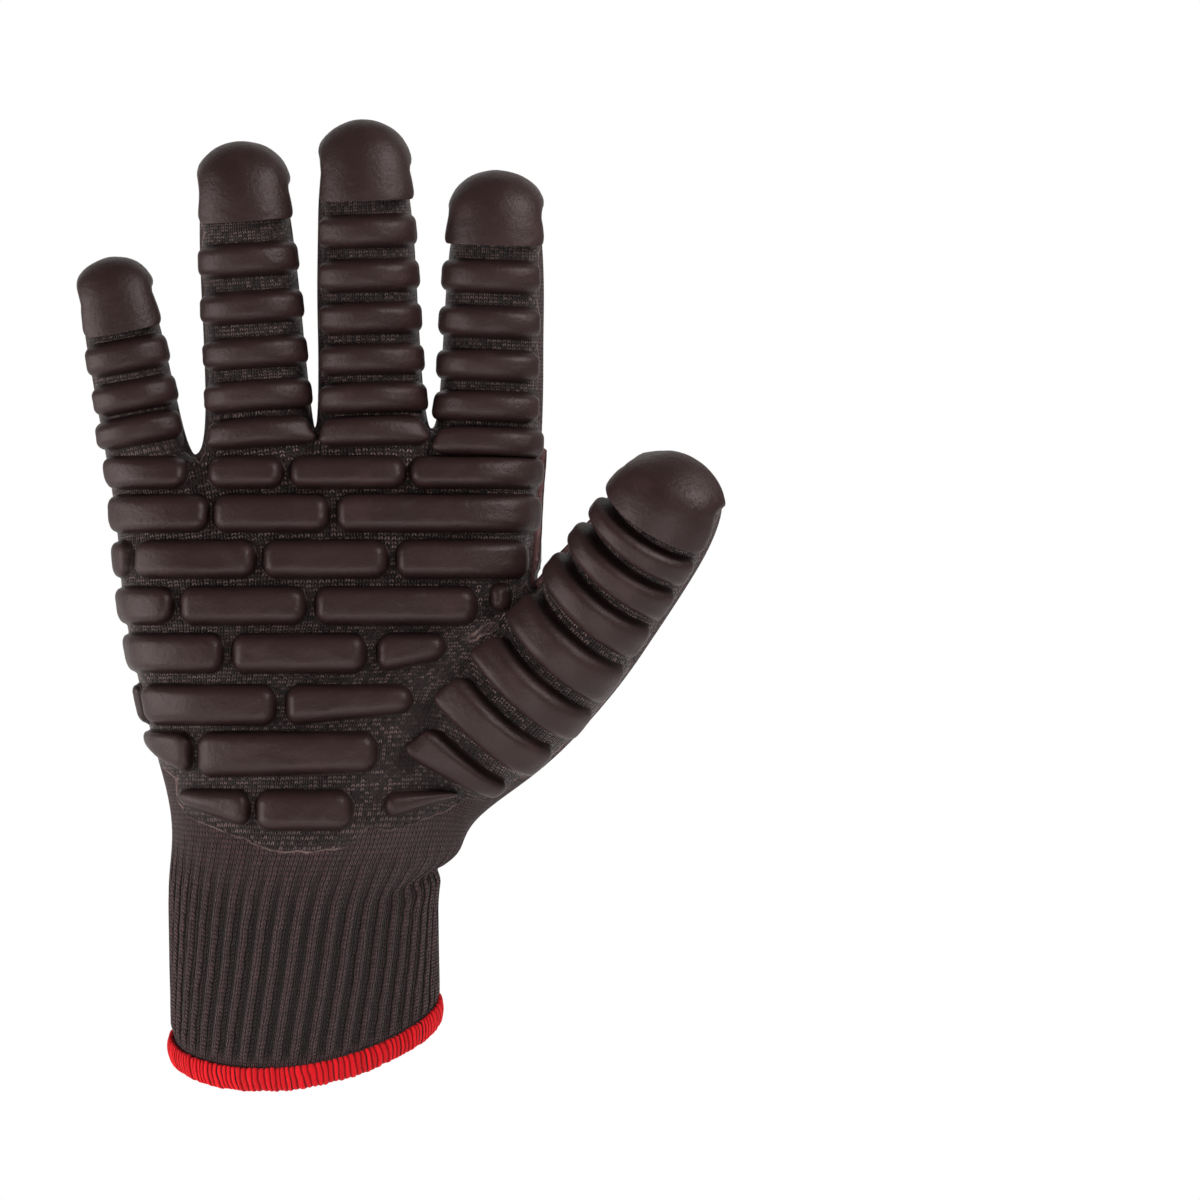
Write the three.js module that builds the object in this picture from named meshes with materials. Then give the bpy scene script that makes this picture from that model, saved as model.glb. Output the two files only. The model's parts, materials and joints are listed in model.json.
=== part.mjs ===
// Anti-vibration work glove: a seamless knitted liner with rubber pads on its palm side, filled out as it sits
// on a hand. Millimetres, +Z up the wrist to the fingers, palm to -Y, thumb to +X. The origin is the centre of
// the wrist opening.
import * as THREE from "three";

// Knitted liner, outside sizes
const wallThickness = 2;
const cuffWidth = 66;
const cuffDepth = 54;
const cuffHeight = 45;
const palmWidth = 100;
const palmLength = 110;
const palmThickness = 34;
const wristLeanDeg = 12;
const hemDip = 3.5;
const hemTilt = 9;

// Ribs of the cuff
const ribCount = 48;
const ribHeight = 0.9;

// Fingers: length from the crotch and width across the knit
const littleLength = 55;
const littleWidth = 19.5;
const ringLength = 75;
const ringWidth = 22.5;
const middleLength = 77.5;
const middleWidth = 23.5;
const indexLength = 67.5;
const indexWidth = 23.5;
const fingerFlatness = 0.92;

// Thumb: length from its root and width
const thumbLength = 60;
const thumbWidth = 28;

// Hem: an overlocked edge that wraps the end of the cuff
const hemHeight = 5;
const hemThickness = 1;
const hemClearance = 0.3;

// Rubber pads
const padClearance = 0.4;
const barThickness = 4.4;
const barHeight = 7.8;
const brickThickness = 4.6;
const capThickness = 3.2;
const sheetThickness = 1.6;

// Each finger from the little one to the index. Across is a share of palmWidth, up a share of palmLength.
// Curl is how far its tip comes forward, as a share of its length. Its bars are spread evenly from barFrom to
// barTo, its tip pad starts at capFrom, all as shares of its length. The pads reach round the finger from
// fromDeg to toDeg, counted from the front towards the thumb, and the lowest bar only by footDeg.
const fingers = [
  {
    name: "little", length: littleLength, width: littleWidth, baseAcross: -0.365, baseUp: 0.885,
    tipAcross: -0.46, curl: 0.1, bars: 3, barFrom: 0.235, barTo: 0.58, capFrom: 0.69,
    fromDeg: -68, toDeg: 77, footDeg: [-72, 64],
  },
  {
    name: "ring", length: ringLength, width: ringWidth, baseAcross: -0.11, baseUp: 0.965,
    tipAcross: -0.16, curl: 0.08, bars: 5, barFrom: 0.045, barTo: 0.625, capFrom: 0.745,
    fromDeg: -62, toDeg: 77, footDeg: [-54, 50],
  },
  {
    name: "middle", length: middleLength, width: middleWidth, baseAcross: 0.172, baseUp: 0.99,
    tipAcross: 0.15, curl: 0.08, bars: 6, barFrom: 0.008, barTo: 0.645, capFrom: 0.75,
    fromDeg: -62, toDeg: 77, footDeg: [-48, 52],
  },
  {
    name: "index", length: indexLength, width: indexWidth, baseAcross: 0.468, baseUp: 0.965,
    tipAcross: 0.49, curl: 0.08, bars: 5, barFrom: 0.028, barTo: 0.635, capFrom: 0.74,
    fromDeg: -77, toDeg: 62, footDeg: [-52, 70],
  },
];

// Sections of a finger from its crotch to its tip: along is a share of its length, girth of its width
const fingerSections = [
  { along: 0, girth: 1.08 },
  { along: 0.11, girth: 1.05 },
  { along: 0.45, girth: 1.0 },
  { along: 0.8, girth: 0.95 },
  { along: 0.955, girth: 0.78 },
];
const fingerPole = 1.03;

// Sections of the thumb from its root to its tip, in the same way
const thumbSections = [
  { along: 0, girth: 1.2 },
  { along: 0.2, girth: 1.08 },
  { along: 0.5, girth: 1 },
  { along: 0.8, girth: 0.96 },
  { along: 0.95, girth: 0.72 },
];
const thumbPole = 1.03;

// The thumb's root in shares of palmWidth, palmThickness and palmLength, and its middle and tip from there as
// shares of thumbLength
const thumbRoot = { across: 0.65, depth: -0.3, up: 0.5 };
const thumbBend = { across: 0.45, depth: -0.2, up: 0.5 };
const thumbReach = { across: 0.5, depth: -0.35, up: 0.75 };
const thumbFacing = new THREE.Vector3(-0.42, -0.88, -0.1);

// The heel of the hand: an oval as wide and deep as shares of palmWidth and palmThickness
const heelSection = { up: 0.13, left: -0.325, right: 0.44, depth: 1.3 };

// The palm and the ball of the thumb: the crease is where they meet, thumb is the middle of the ball
const ballSection = {
  up: 0.34, left: -0.375, crease: 0.31, creaseUp: 0.38, depth: 1.16,
  thumb: 0.49, thumbDepth: -0.2, thumbUp: 0.33, girth: 0.34,
};
const ballDegrees = [75, 128, 180, 232, 285];

// The palm where the thumb leaves it: the web between them stands out by webOut and rises by webUp
const splitSection = { up: 0.58, left: -0.43, right: 0.55, depth: 1.06, webOut: 0.07, webUp: 0.03 };

// The palm's little edge stands out past its sections by edgeOut, a share of palmWidth. They are thinner at
// their edges by bow.
const edgeOut = 0.02;
const bow = 0.36;

// Steps of the palm up to the fingers, how much of the grooves between the fingers they lose, and how far the
// grooves lie lower at the back of the hand, as a share of palmLength
const palmSteps = [0.42, 0.76];
const grooveEase = 0.6;
const grooveDrop = 0.03;

// Bars round the ball of the thumb and the thumb: along is a share of thumbLength from the thumb's root, the
// degrees are counted from the front towards the outside, cut slants an end as a share of the bar's height
const thumbBars = [
  { name: "thumb_base_bar_1", along: -0.59, fromDeg: -10, toDeg: 44, cutRight: 0.6 },
  { name: "thumb_base_bar_2", along: -0.36, fromDeg: -28, toDeg: 68 },
  { name: "thumb_base_bar_3", along: -0.13, fromDeg: -40, toDeg: 82 },
  { name: "thumb_base_bar_4", along: 0.05, fromDeg: -54, toDeg: 82 },
  { name: "thumb_bar_1", along: 0.22, fromDeg: -68, toDeg: 77 },
  { name: "thumb_bar_2", along: 0.38, fromDeg: -70, toDeg: 77 },
  { name: "thumb_bar_3", along: 0.54, fromDeg: -70, toDeg: 77 },
];
const thumbCap = { along: 0.66, fromDeg: -74, toDeg: 74 };

// Rows of pads on the palm from the fingers down: up and height are shares of palmLength, the pads reach across
// from and to shares of palmWidth; a cut takes that share of the height off the lower edge at one end
const palmRows = [
  {
    up: 0.9, height: 0.068,
    pads: [{ from: -0.485, to: -0.277 }, { from: -0.225, to: -0.037 }, { from: -0.022, to: 0.265 },
      { from: 0.273, to: 0.59 }],
  },
  {
    up: 0.808, height: 0.08,
    pads: [{ from: -0.48, to: -0.22 }, { from: -0.21, to: 0.077 }, { from: 0.095, to: 0.59 }],
  },
  {
    up: 0.705, height: 0.08,
    pads: [{ from: -0.475, to: -0.413 }, { from: -0.4, to: -0.103 }, { from: -0.085, to: 0.222 },
      { from: 0.242, to: 0.55 }],
  },
  {
    up: 0.601, height: 0.08,
    pads: [{ from: -0.46, to: -0.305 }, { from: -0.288, to: 0.022 }, { from: 0.045, to: 0.44 }],
  },
  {
    up: 0.495, height: 0.084,
    pads: [{ from: -0.44, to: -0.18 }, { from: -0.158, to: 0.17 }, { from: 0.197, to: 0.36, cutRight: 0.55 }],
  },
  {
    up: 0.38, height: 0.086,
    pads: [{ from: -0.42, to: -0.375 }, { from: -0.365, to: -0.05 }, { from: -0.025, to: 0.285 }],
  },
  {
    up: 0.27, height: 0.098,
    pads: [{ from: -0.37, to: -0.252, cutLeft: 0.6 }, { from: -0.24, to: 0.198 }],
  },
  {
    up: 0.148, height: 0.086,
    pads: [{ from: -0.278, to: -0.113, cutLeft: 0.6 }, { from: -0.097, to: 0.138 }],
  },
];
const heelPad = { name: "heel_pad", up: 0.152, height: 0.046, from: 0.215, to: 0.385 };
const crotchPad = { name: "thumb_crotch_pad", up: 0.62, height: 0.066, from: 0.472, to: 0.522 };

// The sheet that lines the crook between the index finger and the thumb: first down the palm's edge, with up
// as a share of palmLength, then out along the thumb, with along as a share of thumbLength. It spans from its
// front edge to its back edge, in degrees counted from straight out of the crook.
const crookPalm = [
  { up: 0.96, frontDeg: 2, backDeg: 26 },
  { up: 0.89, frontDeg: 2, backDeg: 62 },
  { up: 0.79, frontDeg: 2, backDeg: 76 },
  { up: 0.7, frontDeg: -8, backDeg: 82 },
];
const crookThumb = [
  { along: 0.1, frontDeg: -14, backDeg: 88 },
  { along: 0.3, frontDeg: -4, backDeg: 92 },
  { along: 0.5, frontDeg: 0, backDeg: 92 },
  { along: 0.7, frontDeg: 8, backDeg: 88 },
  { along: 0.86, frontDeg: 12, backDeg: 70 },
];

// Where the palm's front turns round its edges, as a share of palmThickness
const palmEdgeRadius = 0.42;

// How much of its thickness a bar has lost at the sides of a finger, and a palm pad round the palm's edge
const barSideLoss = 0.7;
const brickEdgeLoss = 0.4;

// Steps along a bar and along a palm pad
const barStepDeg = 30;
const brickStep = 13;

// Grid of a fingertip's pad: its rows run straight up the finger to the half, then over the tip by capOverDeg.
// capTop is where the finger's spine stops under it. Its corners are drawn in to capFoot of its width.
const capColumns = [0, 0.08, 0.24, 0.41, 0.59, 0.76, 0.92, 1];
const capRows = [0, 0.1, 0.3, 0.5, 0.68, 0.86, 1];
const capTop = 0.86;
const capOverDeg = 148;
const capFoot = 0.9;
const capSideLoss = 0.45;
const capEdge = { end: 0.5, side: 0.35 };

// Grid of the sheet in the crook of the thumb, and how thick it is left at its edges
const sheetRows = [0, 0.08, 0.3, 0.55, 0.8, 0.92, 1];
const webSteps = [0.3, 0.55, 0.8];
const sheetEdge = 0.5;

// Between its corners the underside of a pad stays this share of padClearance off the skin. Where it doesn't,
// the corners rise by the shortfall times liftSpare.
const probeShare = 0.75;
const liftSpare = 1.15;

// Heights of the cuff's sections as shares of its own: over the hem, where the ribs are whole, where they end
const overHem = 0.01;
const ribsGrow = 0.04;
const ribsEnd = 0.88;

// The hem reaches up inside the cuff by this share of its height
const hemInside = 0.8;

const ringColumns = 24;
const tubeColumns = 8;
const splineShrink = (4 + 2 * Math.cos(Math.PI / 4)) / 6;
const turn = Math.PI * 2;
const lean = THREE.MathUtils.degToRad(wristLeanDeg);

// From the hand's own frame (across, depth, up from the wrist) to the part's frame
function leanBack(across, depth, up, share = 1) {
  const angle = lean * share;
  const y = depth * Math.cos(angle) + up * Math.sin(angle);
  const z = cuffHeight - depth * Math.sin(angle) + up * Math.cos(angle);
  return new THREE.Vector3(across, y, z);
}

function leanPoint(p) {
  return leanBack(p.x, p.y, p.z);
}

function leanDirection(p) {
  return p.clone().applyAxisAngle(new THREE.Vector3(1, 0, 0), -lean);
}

// A curve that a finger or the thumb follows in the hand's frame, with the way that its pads face
function fingerSpine(finger) {
  const base = new THREE.Vector3(finger.baseAcross * palmWidth, 0, finger.baseUp * palmLength);
  const sideways = (finger.tipAcross - finger.baseAcross) * palmWidth;
  const rise = Math.sqrt(finger.length ** 2 - sideways ** 2);
  const middle = base.clone().add(new THREE.Vector3(sideways / 2, 0, rise / 2));
  const tip = base.clone().add(new THREE.Vector3(sideways, -finger.curl * finger.length, rise));
  const curve = new THREE.QuadraticBezierCurve3(base, middle, tip);
  return { curve, facing: new THREE.Vector3(0, -1, 0), length: finger.length, width: finger.width };
}

function thumbSpine() {
  const root = new THREE.Vector3(
    thumbRoot.across * palmWidth,
    thumbRoot.depth * palmThickness,
    thumbRoot.up * palmLength,
  );
  const from = (share) =>
    root.clone().add(new THREE.Vector3(share.across, share.depth, share.up).multiplyScalar(thumbLength));
  const curve = new THREE.QuadraticBezierCurve3(root, from(thumbBend), from(thumbReach));
  return { curve, facing: thumbFacing, length: thumbLength, width: thumbWidth };
}

// Centre, axis, front and right of a spine at a share of its length, past either end in a straight line
function spineFrame(spine, along) {
  const held = THREE.MathUtils.clamp(along, 0, 1);
  const axis = spine.curve.getTangent(held);
  const centre = spine.curve.getPoint(held).addScaledVector(axis, (along - held) * spine.length);
  const front = spine.facing.clone().addScaledVector(axis, -spine.facing.dot(axis)).normalize();
  const right = new THREE.Vector3().crossVectors(axis, front);
  return { centre, axis, front, right };
}

// The eight control points of a finger's section, from its left side over the front to the right and the back
function sectionPoints(spine, section) {
  const { centre, front, right } = spineFrame(spine, section.along);
  const across = (spine.width / 2 / splineShrink) * section.girth;
  const deep = across * fingerFlatness;
  return Array.from({ length: tubeColumns }, (_, k) => {
    const angle = (k / tubeColumns) * turn;
    return centre
      .clone()
      .addScaledVector(right, -across * Math.cos(angle))
      .addScaledVector(front, deep * Math.sin(angle));
  });
}

// The control net of the liner: points and the quads between them
class Net {
  points = [];
  quads = [];

  add(point) {
    return this.points.push(point) - 1;
  }

  addRing(points) {
    return points.map((p) => this.add(p));
  }

  join(lower, upper) {
    const n = lower.length;
    for (let i = 0; i < n; i++) {
      const j = (i + 1) % n;
      this.quads.push([lower[i], lower[j], upper[j], upper[i]]);
    }
  }

  cap(ring, point) {
    const pole = this.add(point);
    for (let i = 0; i < ring.length; i += 2) {
      this.quads.push([ring[i], ring[i + 1], ring[(i + 2) % ring.length], pole]);
    }
  }
}

// A point of a flat oval section: side runs from -1 at the left to 1 at the right
function ovalPoint(left, right, up, depth, roundness, front, side = roundness) {
  const across = THREE.MathUtils.lerp(left, right, (side + 1) / 2);
  const half = (depth / 2) * (1 - bow * roundness ** 4);
  return new THREE.Vector3(across, front ? -half : half, up);
}

// The ring at the foot of the hand, where the cuff's ribs begin
function wristRing() {
  return Array.from({ length: ringColumns }, (_, k) => {
    const angle = (k / ringColumns) * turn;
    return leanBack((-cuffWidth / 2) * Math.cos(angle), (-cuffDepth / 2) * Math.sin(angle), 0, 0.5);
  });
}

// The oval ring round the heel of the hand
function heelRing() {
  const { up, left, right, depth } = heelSection;
  const middle = ((left + right) / 2) * palmWidth;
  const half = ((right - left) / 2) * palmWidth;
  return Array.from({ length: ringColumns }, (_, k) => {
    const angle = (k / ringColumns) * turn;
    const front = -(depth / 2) * palmThickness * Math.sin(angle);
    return leanPoint(new THREE.Vector3(middle - half * Math.cos(angle), front, up * palmLength));
  });
}

// The ring round the palm and the ball of the thumb together
function ballRing() {
  const { left, crease, depth, up, creaseUp, thumb, thumbDepth, thumbUp, girth } = ballSection;
  const deep = depth * palmThickness;
  const palmPoint = (side, front) => {
    const level = THREE.MathUtils.lerp(up, creaseUp, (side + 1) / 2) * palmLength;
    return ovalPoint(left * palmWidth, crease * palmWidth, level, deep, Math.min(side, 0), front, side);
  };
  const { front, right } = spineFrame(thumbSpine(), 0);
  const middle = new THREE.Vector3(thumb * palmWidth, thumbDepth * palmThickness, thumbUp * palmLength);
  const radius = (girth * palmWidth) / 2 / splineShrink;
  const ballPoint = (degrees) => {
    const angle = THREE.MathUtils.degToRad(degrees);
    return middle
      .clone()
      .addScaledVector(right, -radius * Math.cos(angle))
      .addScaledVector(front, radius * Math.sin(angle));
  };
  const ring = [new THREE.Vector3((left - edgeOut) * palmWidth, 0, up * palmLength)];
  for (let k = 0; k <= 8; k++) ring.push(palmPoint(k / 4 - 1, true));
  for (const degrees of ballDegrees) ring.push(ballPoint(degrees));
  for (let k = 8; k >= 0; k--) ring.push(palmPoint(k / 4 - 1, false));
  return ring.map(leanPoint);
}

// The ring where the thumb leaves the palm: 20 points round the palm and 8 round the thumb, with three shared
function splitRings() {
  const thumb = sectionPoints(thumbSpine(), thumbSections[0]);
  const left = splitSection.left * palmWidth;
  const right = splitSection.right * palmWidth;
  const up = splitSection.up * palmLength;
  const depth = splitSection.depth * palmThickness;
  const { webOut, webUp } = splitSection;
  const palm = [new THREE.Vector3(left - edgeOut * palmWidth, 0, up)];
  for (let k = 0; k <= 8; k++) palm.push(ovalPoint(left, right, up, depth, k / 4 - 1, true));
  palm.push(new THREE.Vector3(right + webOut * palmWidth, 0, up + webUp * palmLength));
  for (let k = 8; k >= 0; k--) palm.push(ovalPoint(left, right, up, depth, k / 4 - 1, false));
  const shared = [
    [9, 1],
    [10, 0],
    [11, 7],
  ];
  for (const [k, t] of shared) palm[k].add(thumb[t]).multiplyScalar(0.5);
  return { palm: palm.map(leanPoint), thumb: thumb.map(leanPoint) };
}

// The outside of the hand from the wrist ring up, as a control net
function handNet() {
  const net = new Net();
  const wrist = net.addRing(wristRing());
  let lower = wrist;
  for (const points of [heelRing(), ballRing()]) {
    const ring = net.addRing(points);
    net.join(lower, ring);
    lower = ring;
  }
  const split = splitRings();
  const palm = net.addRing(split.palm);
  const outer = split.thumb.slice(2, 7).map((p) => net.add(p));
  net.join(lower, [...palm.slice(0, 10), ...outer, ...palm.slice(11)]);
  addTube(net, [palm[10], palm[9], ...outer, palm[11]], thumbSpine(), thumbSections, thumbPole);
  addFingers(net, palm);
  return { net, wrist };
}

function addTube(net, root, spine, sections, pole) {
  let lower = root;
  for (const section of sections.slice(1)) {
    const ring = net.addRing(sectionPoints(spine, section).map(leanPoint));
    net.join(lower, ring);
    lower = ring;
  }
  const { centre } = spineFrame(spine, pole);
  net.cap(lower, leanPoint(centre));
}

// The upper palm and the four fingers: neighbours share the points at each crotch
function addFingers(net, palm) {
  const spines = fingers.map(fingerSpine);
  const roots = spines.map((spine) => sectionPoints(spine, fingerSections[0]));
  const top = Array(20);
  top[0] = roots[0][0];
  top[10] = roots[3][4];
  const crotches = [];
  roots.forEach((root, i) => {
    top[2 + 2 * i] = root[2];
    top[18 - 2 * i] = root[6];
    if (i === 0) {
      top[1] = root[1];
      top[19] = root[7];
      return;
    }
    const before = roots[i - 1];
    const lower = new THREE.Vector3(0, 0, -grooveDrop * palmLength);
    top[1 + 2 * i] = before[3].clone().add(root[1]).multiplyScalar(0.5);
    top[19 - 2 * i] = before[5].clone().add(root[7]).multiplyScalar(0.5).add(lower);
    crotches.push(before[4].clone().add(root[0]).multiplyScalar(0.5));
  });
  top[9] = roots[3][3];
  top[11] = roots[3][5];
  const raised = top.map(leanPoint);
  let below = palm;
  for (const share of palmSteps) {
    const ring = net.addRing(raised.map((p, k) => kneadedPoint(net.points[palm[k]], raised, k, share)));
    net.join(below, ring);
    below = ring;
  }
  const crown = net.addRing(raised);
  net.join(below, crown);
  const saddles = crotches.map((p) => net.add(leanPoint(p)));
  spines.forEach((spine, i) => {
    const left = i === 0 ? crown[0] : saddles[i - 1];
    const right = i === 3 ? crown[10] : saddles[i];
    const front = [1, 2, 3].map((k) => crown[k + 2 * i]);
    const back = [17, 18, 19].map((k) => crown[k - 2 * i]);
    addTube(net, [left, ...front, right, ...back], spine, fingerSections, fingerPole);
  });
}

// A point between the palm's split ring and its crown, with the grooves between the fingers eased out
function kneadedPoint(low, raised, k, share) {
  const n = raised.length;
  const groove = k % 2 === 1 && k > 1 && k < n - 1 && k !== 9 && k !== 11;
  const high = raised[k].clone();
  if (groove) {
    const level = raised[k - 1].clone().add(raised[(k + 1) % n]).multiplyScalar(0.5);
    high.lerp(level, 1 - share * grooveEase);
  }
  return low.clone().lerp(high, share);
}

// One step of Catmull-Clark subdivision of a net whose only open edge is the wrist ring
function subdivide(net) {
  const { points, quads } = net;
  const next = new Net();
  const sums = points.map(() => ({ faces: [], edges: [] }));
  const facePoints = quads.map((quad) => {
    const middle = new THREE.Vector3();
    quad.forEach((v) => middle.addScaledVector(points[v], 1 / 4));
    quad.forEach((v) => sums[v].faces.push(middle));
    return middle;
  });
  const edges = new Map();
  quads.forEach((quad, f) => {
    quad.forEach((a, i) => {
      const b = quad[(i + 1) % 4];
      const key = a < b ? `${a},${b}` : `${b},${a}`;
      if (!edges.has(key)) edges.set(key, { ends: [a, b], faces: [] });
      edges.get(key).faces.push(f);
    });
  });
  for (const edge of edges.values()) {
    const [a, b] = edge.ends;
    edge.middle = points[a].clone().add(points[b]).multiplyScalar(0.5);
    sums[a].edges.push(edge);
    sums[b].edges.push(edge);
  }
  sums.forEach((sum, v) => next.add(vertexPoint(points[v], sum)));
  for (const edge of edges.values()) {
    const point = edge.middle.clone();
    if (edge.faces.length === 2) {
      const inner = facePoints[edge.faces[0]].clone().add(facePoints[edge.faces[1]]).multiplyScalar(0.5);
      point.add(inner).multiplyScalar(0.5);
    }
    edge.index = next.add(point);
  }
  const edgeIndex = (a, b) => edges.get(a < b ? `${a},${b}` : `${b},${a}`).index;
  quads.forEach((quad, f) => {
    const centre = next.add(facePoints[f]);
    quad.forEach((v, i) => {
      const after = quad[(i + 1) % 4];
      const before = quad[(i + 3) % 4];
      next.quads.push([v, edgeIndex(v, after), centre, edgeIndex(before, v)]);
    });
  });
  return next;
}

function vertexPoint(point, { faces, edges }) {
  const open = edges.filter((edge) => edge.faces.length === 1);
  if (open.length === 2) {
    const beside = open[0].middle.clone().add(open[1].middle);
    return point.clone().multiplyScalar(0.5).addScaledVector(beside, 0.25);
  }
  const n = edges.length;
  const result = point.clone().multiplyScalar((n - 3) / n);
  faces.forEach((middle) => result.addScaledVector(middle, 1 / (n * n)));
  edges.forEach((edge) => result.addScaledVector(edge.middle, 2 / (n * n)));
  return result;
}

// Points of the net moved to where endless subdivision would put them
function limitPoints({ points, quads }) {
  const near = points.map(() => ({ beside: new Map(), across: new THREE.Vector3(), faces: 0 }));
  for (const quad of quads) {
    quad.forEach((v, i) => {
      for (const step of [1, 3]) {
        const other = quad[(i + step) % 4];
        near[v].beside.set(other, (near[v].beside.get(other) ?? 0) + 1);
      }
      near[v].across.add(points[quad[(i + 2) % 4]]);
      near[v].faces += 1;
    });
  }
  return points.map((point, v) => {
    const { beside, across, faces } = near[v];
    const open = [...beside].filter(([, uses]) => uses === 1);
    if (open.length === 2) {
      const sum = point.clone().multiplyScalar(4 / 6);
      open.forEach(([other]) => sum.addScaledVector(points[other], 1 / 6));
      return sum;
    }
    const weight = faces * (faces + 5);
    const sum = point.clone().multiplyScalar((faces * faces) / weight).addScaledVector(across, 1 / weight);
    for (const other of beside.keys()) sum.addScaledVector(points[other], 4 / weight);
    return sum;
  });
}

function vertexNormals(points, quads) {
  const normals = points.map(() => new THREE.Vector3());
  for (const quad of quads) {
    const [a, b, c, d] = quad.map((v) => points[v]);
    const normal = new THREE.Vector3().crossVectors(c.clone().sub(a), d.clone().sub(b));
    quad.forEach((v) => normals[v].add(normal));
  }
  return normals.map((n) => n.normalize());
}

// Gathers points and triangles of one closed solid
class Solid {
  points = [];
  triangles = [];

  add(point) {
    return this.points.push(point) - 1;
  }

  triangle(a, b, c) {
    this.triangles.push(a, b, c);
  }

  quad(a, b, c, d) {
    this.triangles.push(a, b, c, a, c, d);
  }

  // Joins two closed rings that may hold different numbers of points, lower ring first
  zip(lower, upper) {
    let i = 0;
    let j = 0;
    while (i < lower.length || j < upper.length) {
      const a = lower[i % lower.length];
      const b = upper[j % upper.length];
      if (j === upper.length || (i < lower.length && (i + 1) * upper.length <= (j + 1) * lower.length)) {
        this.triangle(a, lower[(i + 1) % lower.length], b);
        i += 1;
      } else {
        this.triangle(a, upper[(j + 1) % upper.length], b);
        j += 1;
      }
    }
  }

  geometry() {
    const positions = new Float32Array(this.points.flatMap((p) => p.toArray()));
    const geometry = new THREE.BufferGeometry();
    geometry.setAttribute("position", new THREE.BufferAttribute(positions, 3));
    geometry.setIndex(this.triangles);
    geometry.computeVertexNormals();
    return geometry;
  }
}

// How far the hem hangs below level at an angle round the cuff: it dips at the front and the back, and rises
// towards the thumb
function hemDrop(angle) {
  return hemDip * (Math.sin(angle) ** 2 - 0.5) + (hemTilt / 2) * Math.cos(angle);
}

// A ring of the cuff: rise is a share of its height, inset moves it inwards
function cuffRing(count, rise, inset, ribs = 0) {
  return Array.from({ length: count }, (_, k) => {
    const angle = (k / count) * turn;
    const out = (k % 2 === 1 ? ribs : 0) - inset;
    const x = -(cuffWidth / 2 + out) * Math.cos(angle);
    const y = -(cuffDepth / 2 + out) * Math.sin(angle);
    return new THREE.Vector3(x, y, rise * cuffHeight - hemDrop(angle) * (1 - rise));
  });
}

function walk(after, start) {
  const ring = [start];
  while (after.get(ring.at(-1)) !== start) ring.push(after.get(ring.at(-1)));
  return ring;
}

const hand = handNet();
const handQuads = subdivide(hand.net);
const handPoints = limitPoints(handQuads);

function openEdges(quads) {
  const after = new Map();
  const used = new Set();
  for (const quad of quads) quad.forEach((a, i) => used.add(`${a},${quad[(i + 1) % 4]}`));
  for (const key of used) {
    const [a, b] = key.split(",").map(Number);
    if (!used.has(`${b},${a}`)) after.set(a, b);
  }
  return after;
}

// The liner: the hand's skin and the ribbed cuff, outside and inside, closed at the end of the cuff
function linerGeometry() {
  const solid = new Solid();
  const normals = vertexNormals(handPoints, handQuads.quads);
  const outer = handPoints.map((p) => solid.add(p));
  const inner = handPoints.map((p, v) => solid.add(p.clone().addScaledVector(normals[v], -wallThickness)));
  for (const [a, b, c, d] of handQuads.quads) {
    solid.quad(outer[a], outer[b], outer[c], outer[d]);
    solid.quad(inner[d], inner[c], inner[b], inner[a]);
  }
  const ring = walk(openEdges(handQuads.quads), hand.wrist[0]);
  const add = (points) => points.map((p) => solid.add(p));
  const aboveHem = hemHeight / cuffHeight + overHem;
  const bands = [
    add(cuffRing(ribCount, 0, wallThickness)),
    add(cuffRing(ribCount, 0, 0)),
    add(cuffRing(ribCount, aboveHem, 0)),
    add(cuffRing(2 * ribCount, aboveHem + ribsGrow, 0, ribHeight)),
    add(cuffRing(2 * ribCount, ribsEnd, 0, ribHeight)),
    ring.map((v) => outer[v]),
  ];
  bands.slice(1).forEach((band, i) => solid.zip(bands[i], band));
  solid.zip(ring.map((v) => inner[v]), bands[0]);
  return solid.geometry();
}

// The overlocked hem: a channel that the end of the liner sits in
function hemGeometry() {
  const solid = new Solid();
  const out = -hemClearance;
  const corners = [
    [out, hemHeight],
    [out, -hemClearance],
    [wallThickness + hemClearance, -hemClearance],
    [wallThickness + hemClearance, hemHeight * hemInside],
    [wallThickness + hemClearance + hemThickness, hemHeight * hemInside],
    [wallThickness + hemClearance + hemThickness, -hemClearance - hemThickness],
    [out - hemThickness, -hemClearance - hemThickness],
    [out - hemThickness, hemHeight],
  ];
  const rings = corners.map(([inset, up]) =>
    cuffRing(ribCount, 0, inset).map((p) => solid.add(p.setZ(p.z + up))),
  );
  rings.forEach((ring, i) => solid.zip(ring, rings[(i + 1) % rings.length]));
  return solid.geometry();
}

// Triangles of the hand's outer skin, for laying pads on it
const skin = handQuads.quads.flatMap(([a, b, c, d]) => [
  [handPoints[a], handPoints[b], handPoints[c]],
  [handPoints[a], handPoints[c], handPoints[d]],
]);

// The distance from a point inside the hand to its outer skin, both in the hand's frame
function reach(origin, direction) {
  const ray = new THREE.Ray(leanPoint(origin), leanDirection(direction));
  const target = new THREE.Vector3();
  let nearest = Infinity;
  for (const [a, b, c] of skin) {
    if (ray.intersectTriangle(a, b, c, false, target)) {
      nearest = Math.min(nearest, target.distanceTo(ray.origin));
    }
  }
  if (nearest === Infinity) throw new Error("a pad's ray misses the hand");
  return nearest;
}

// A point above the skin along a ray from inside the hand, in the part's frame
function above({ origin, direction }, height) {
  const distance = reach(origin, direction) + padClearance + height;
  return leanPoint(origin.clone().addScaledVector(direction, distance));
}

// The direction at some degrees from a first direction towards a second at right angles to it
function turned(first, second, degrees) {
  const angle = THREE.MathUtils.degToRad(degrees);
  return first.clone().multiplyScalar(Math.cos(angle)).addScaledVector(second, Math.sin(angle));
}

// Where to look between the corners of a pad's underside for skin that would come through it
const probes = [0.25, 0.5, 0.75].flatMap((u) => [0, 0.5, 1].map((v) => [u, v]));

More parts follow.
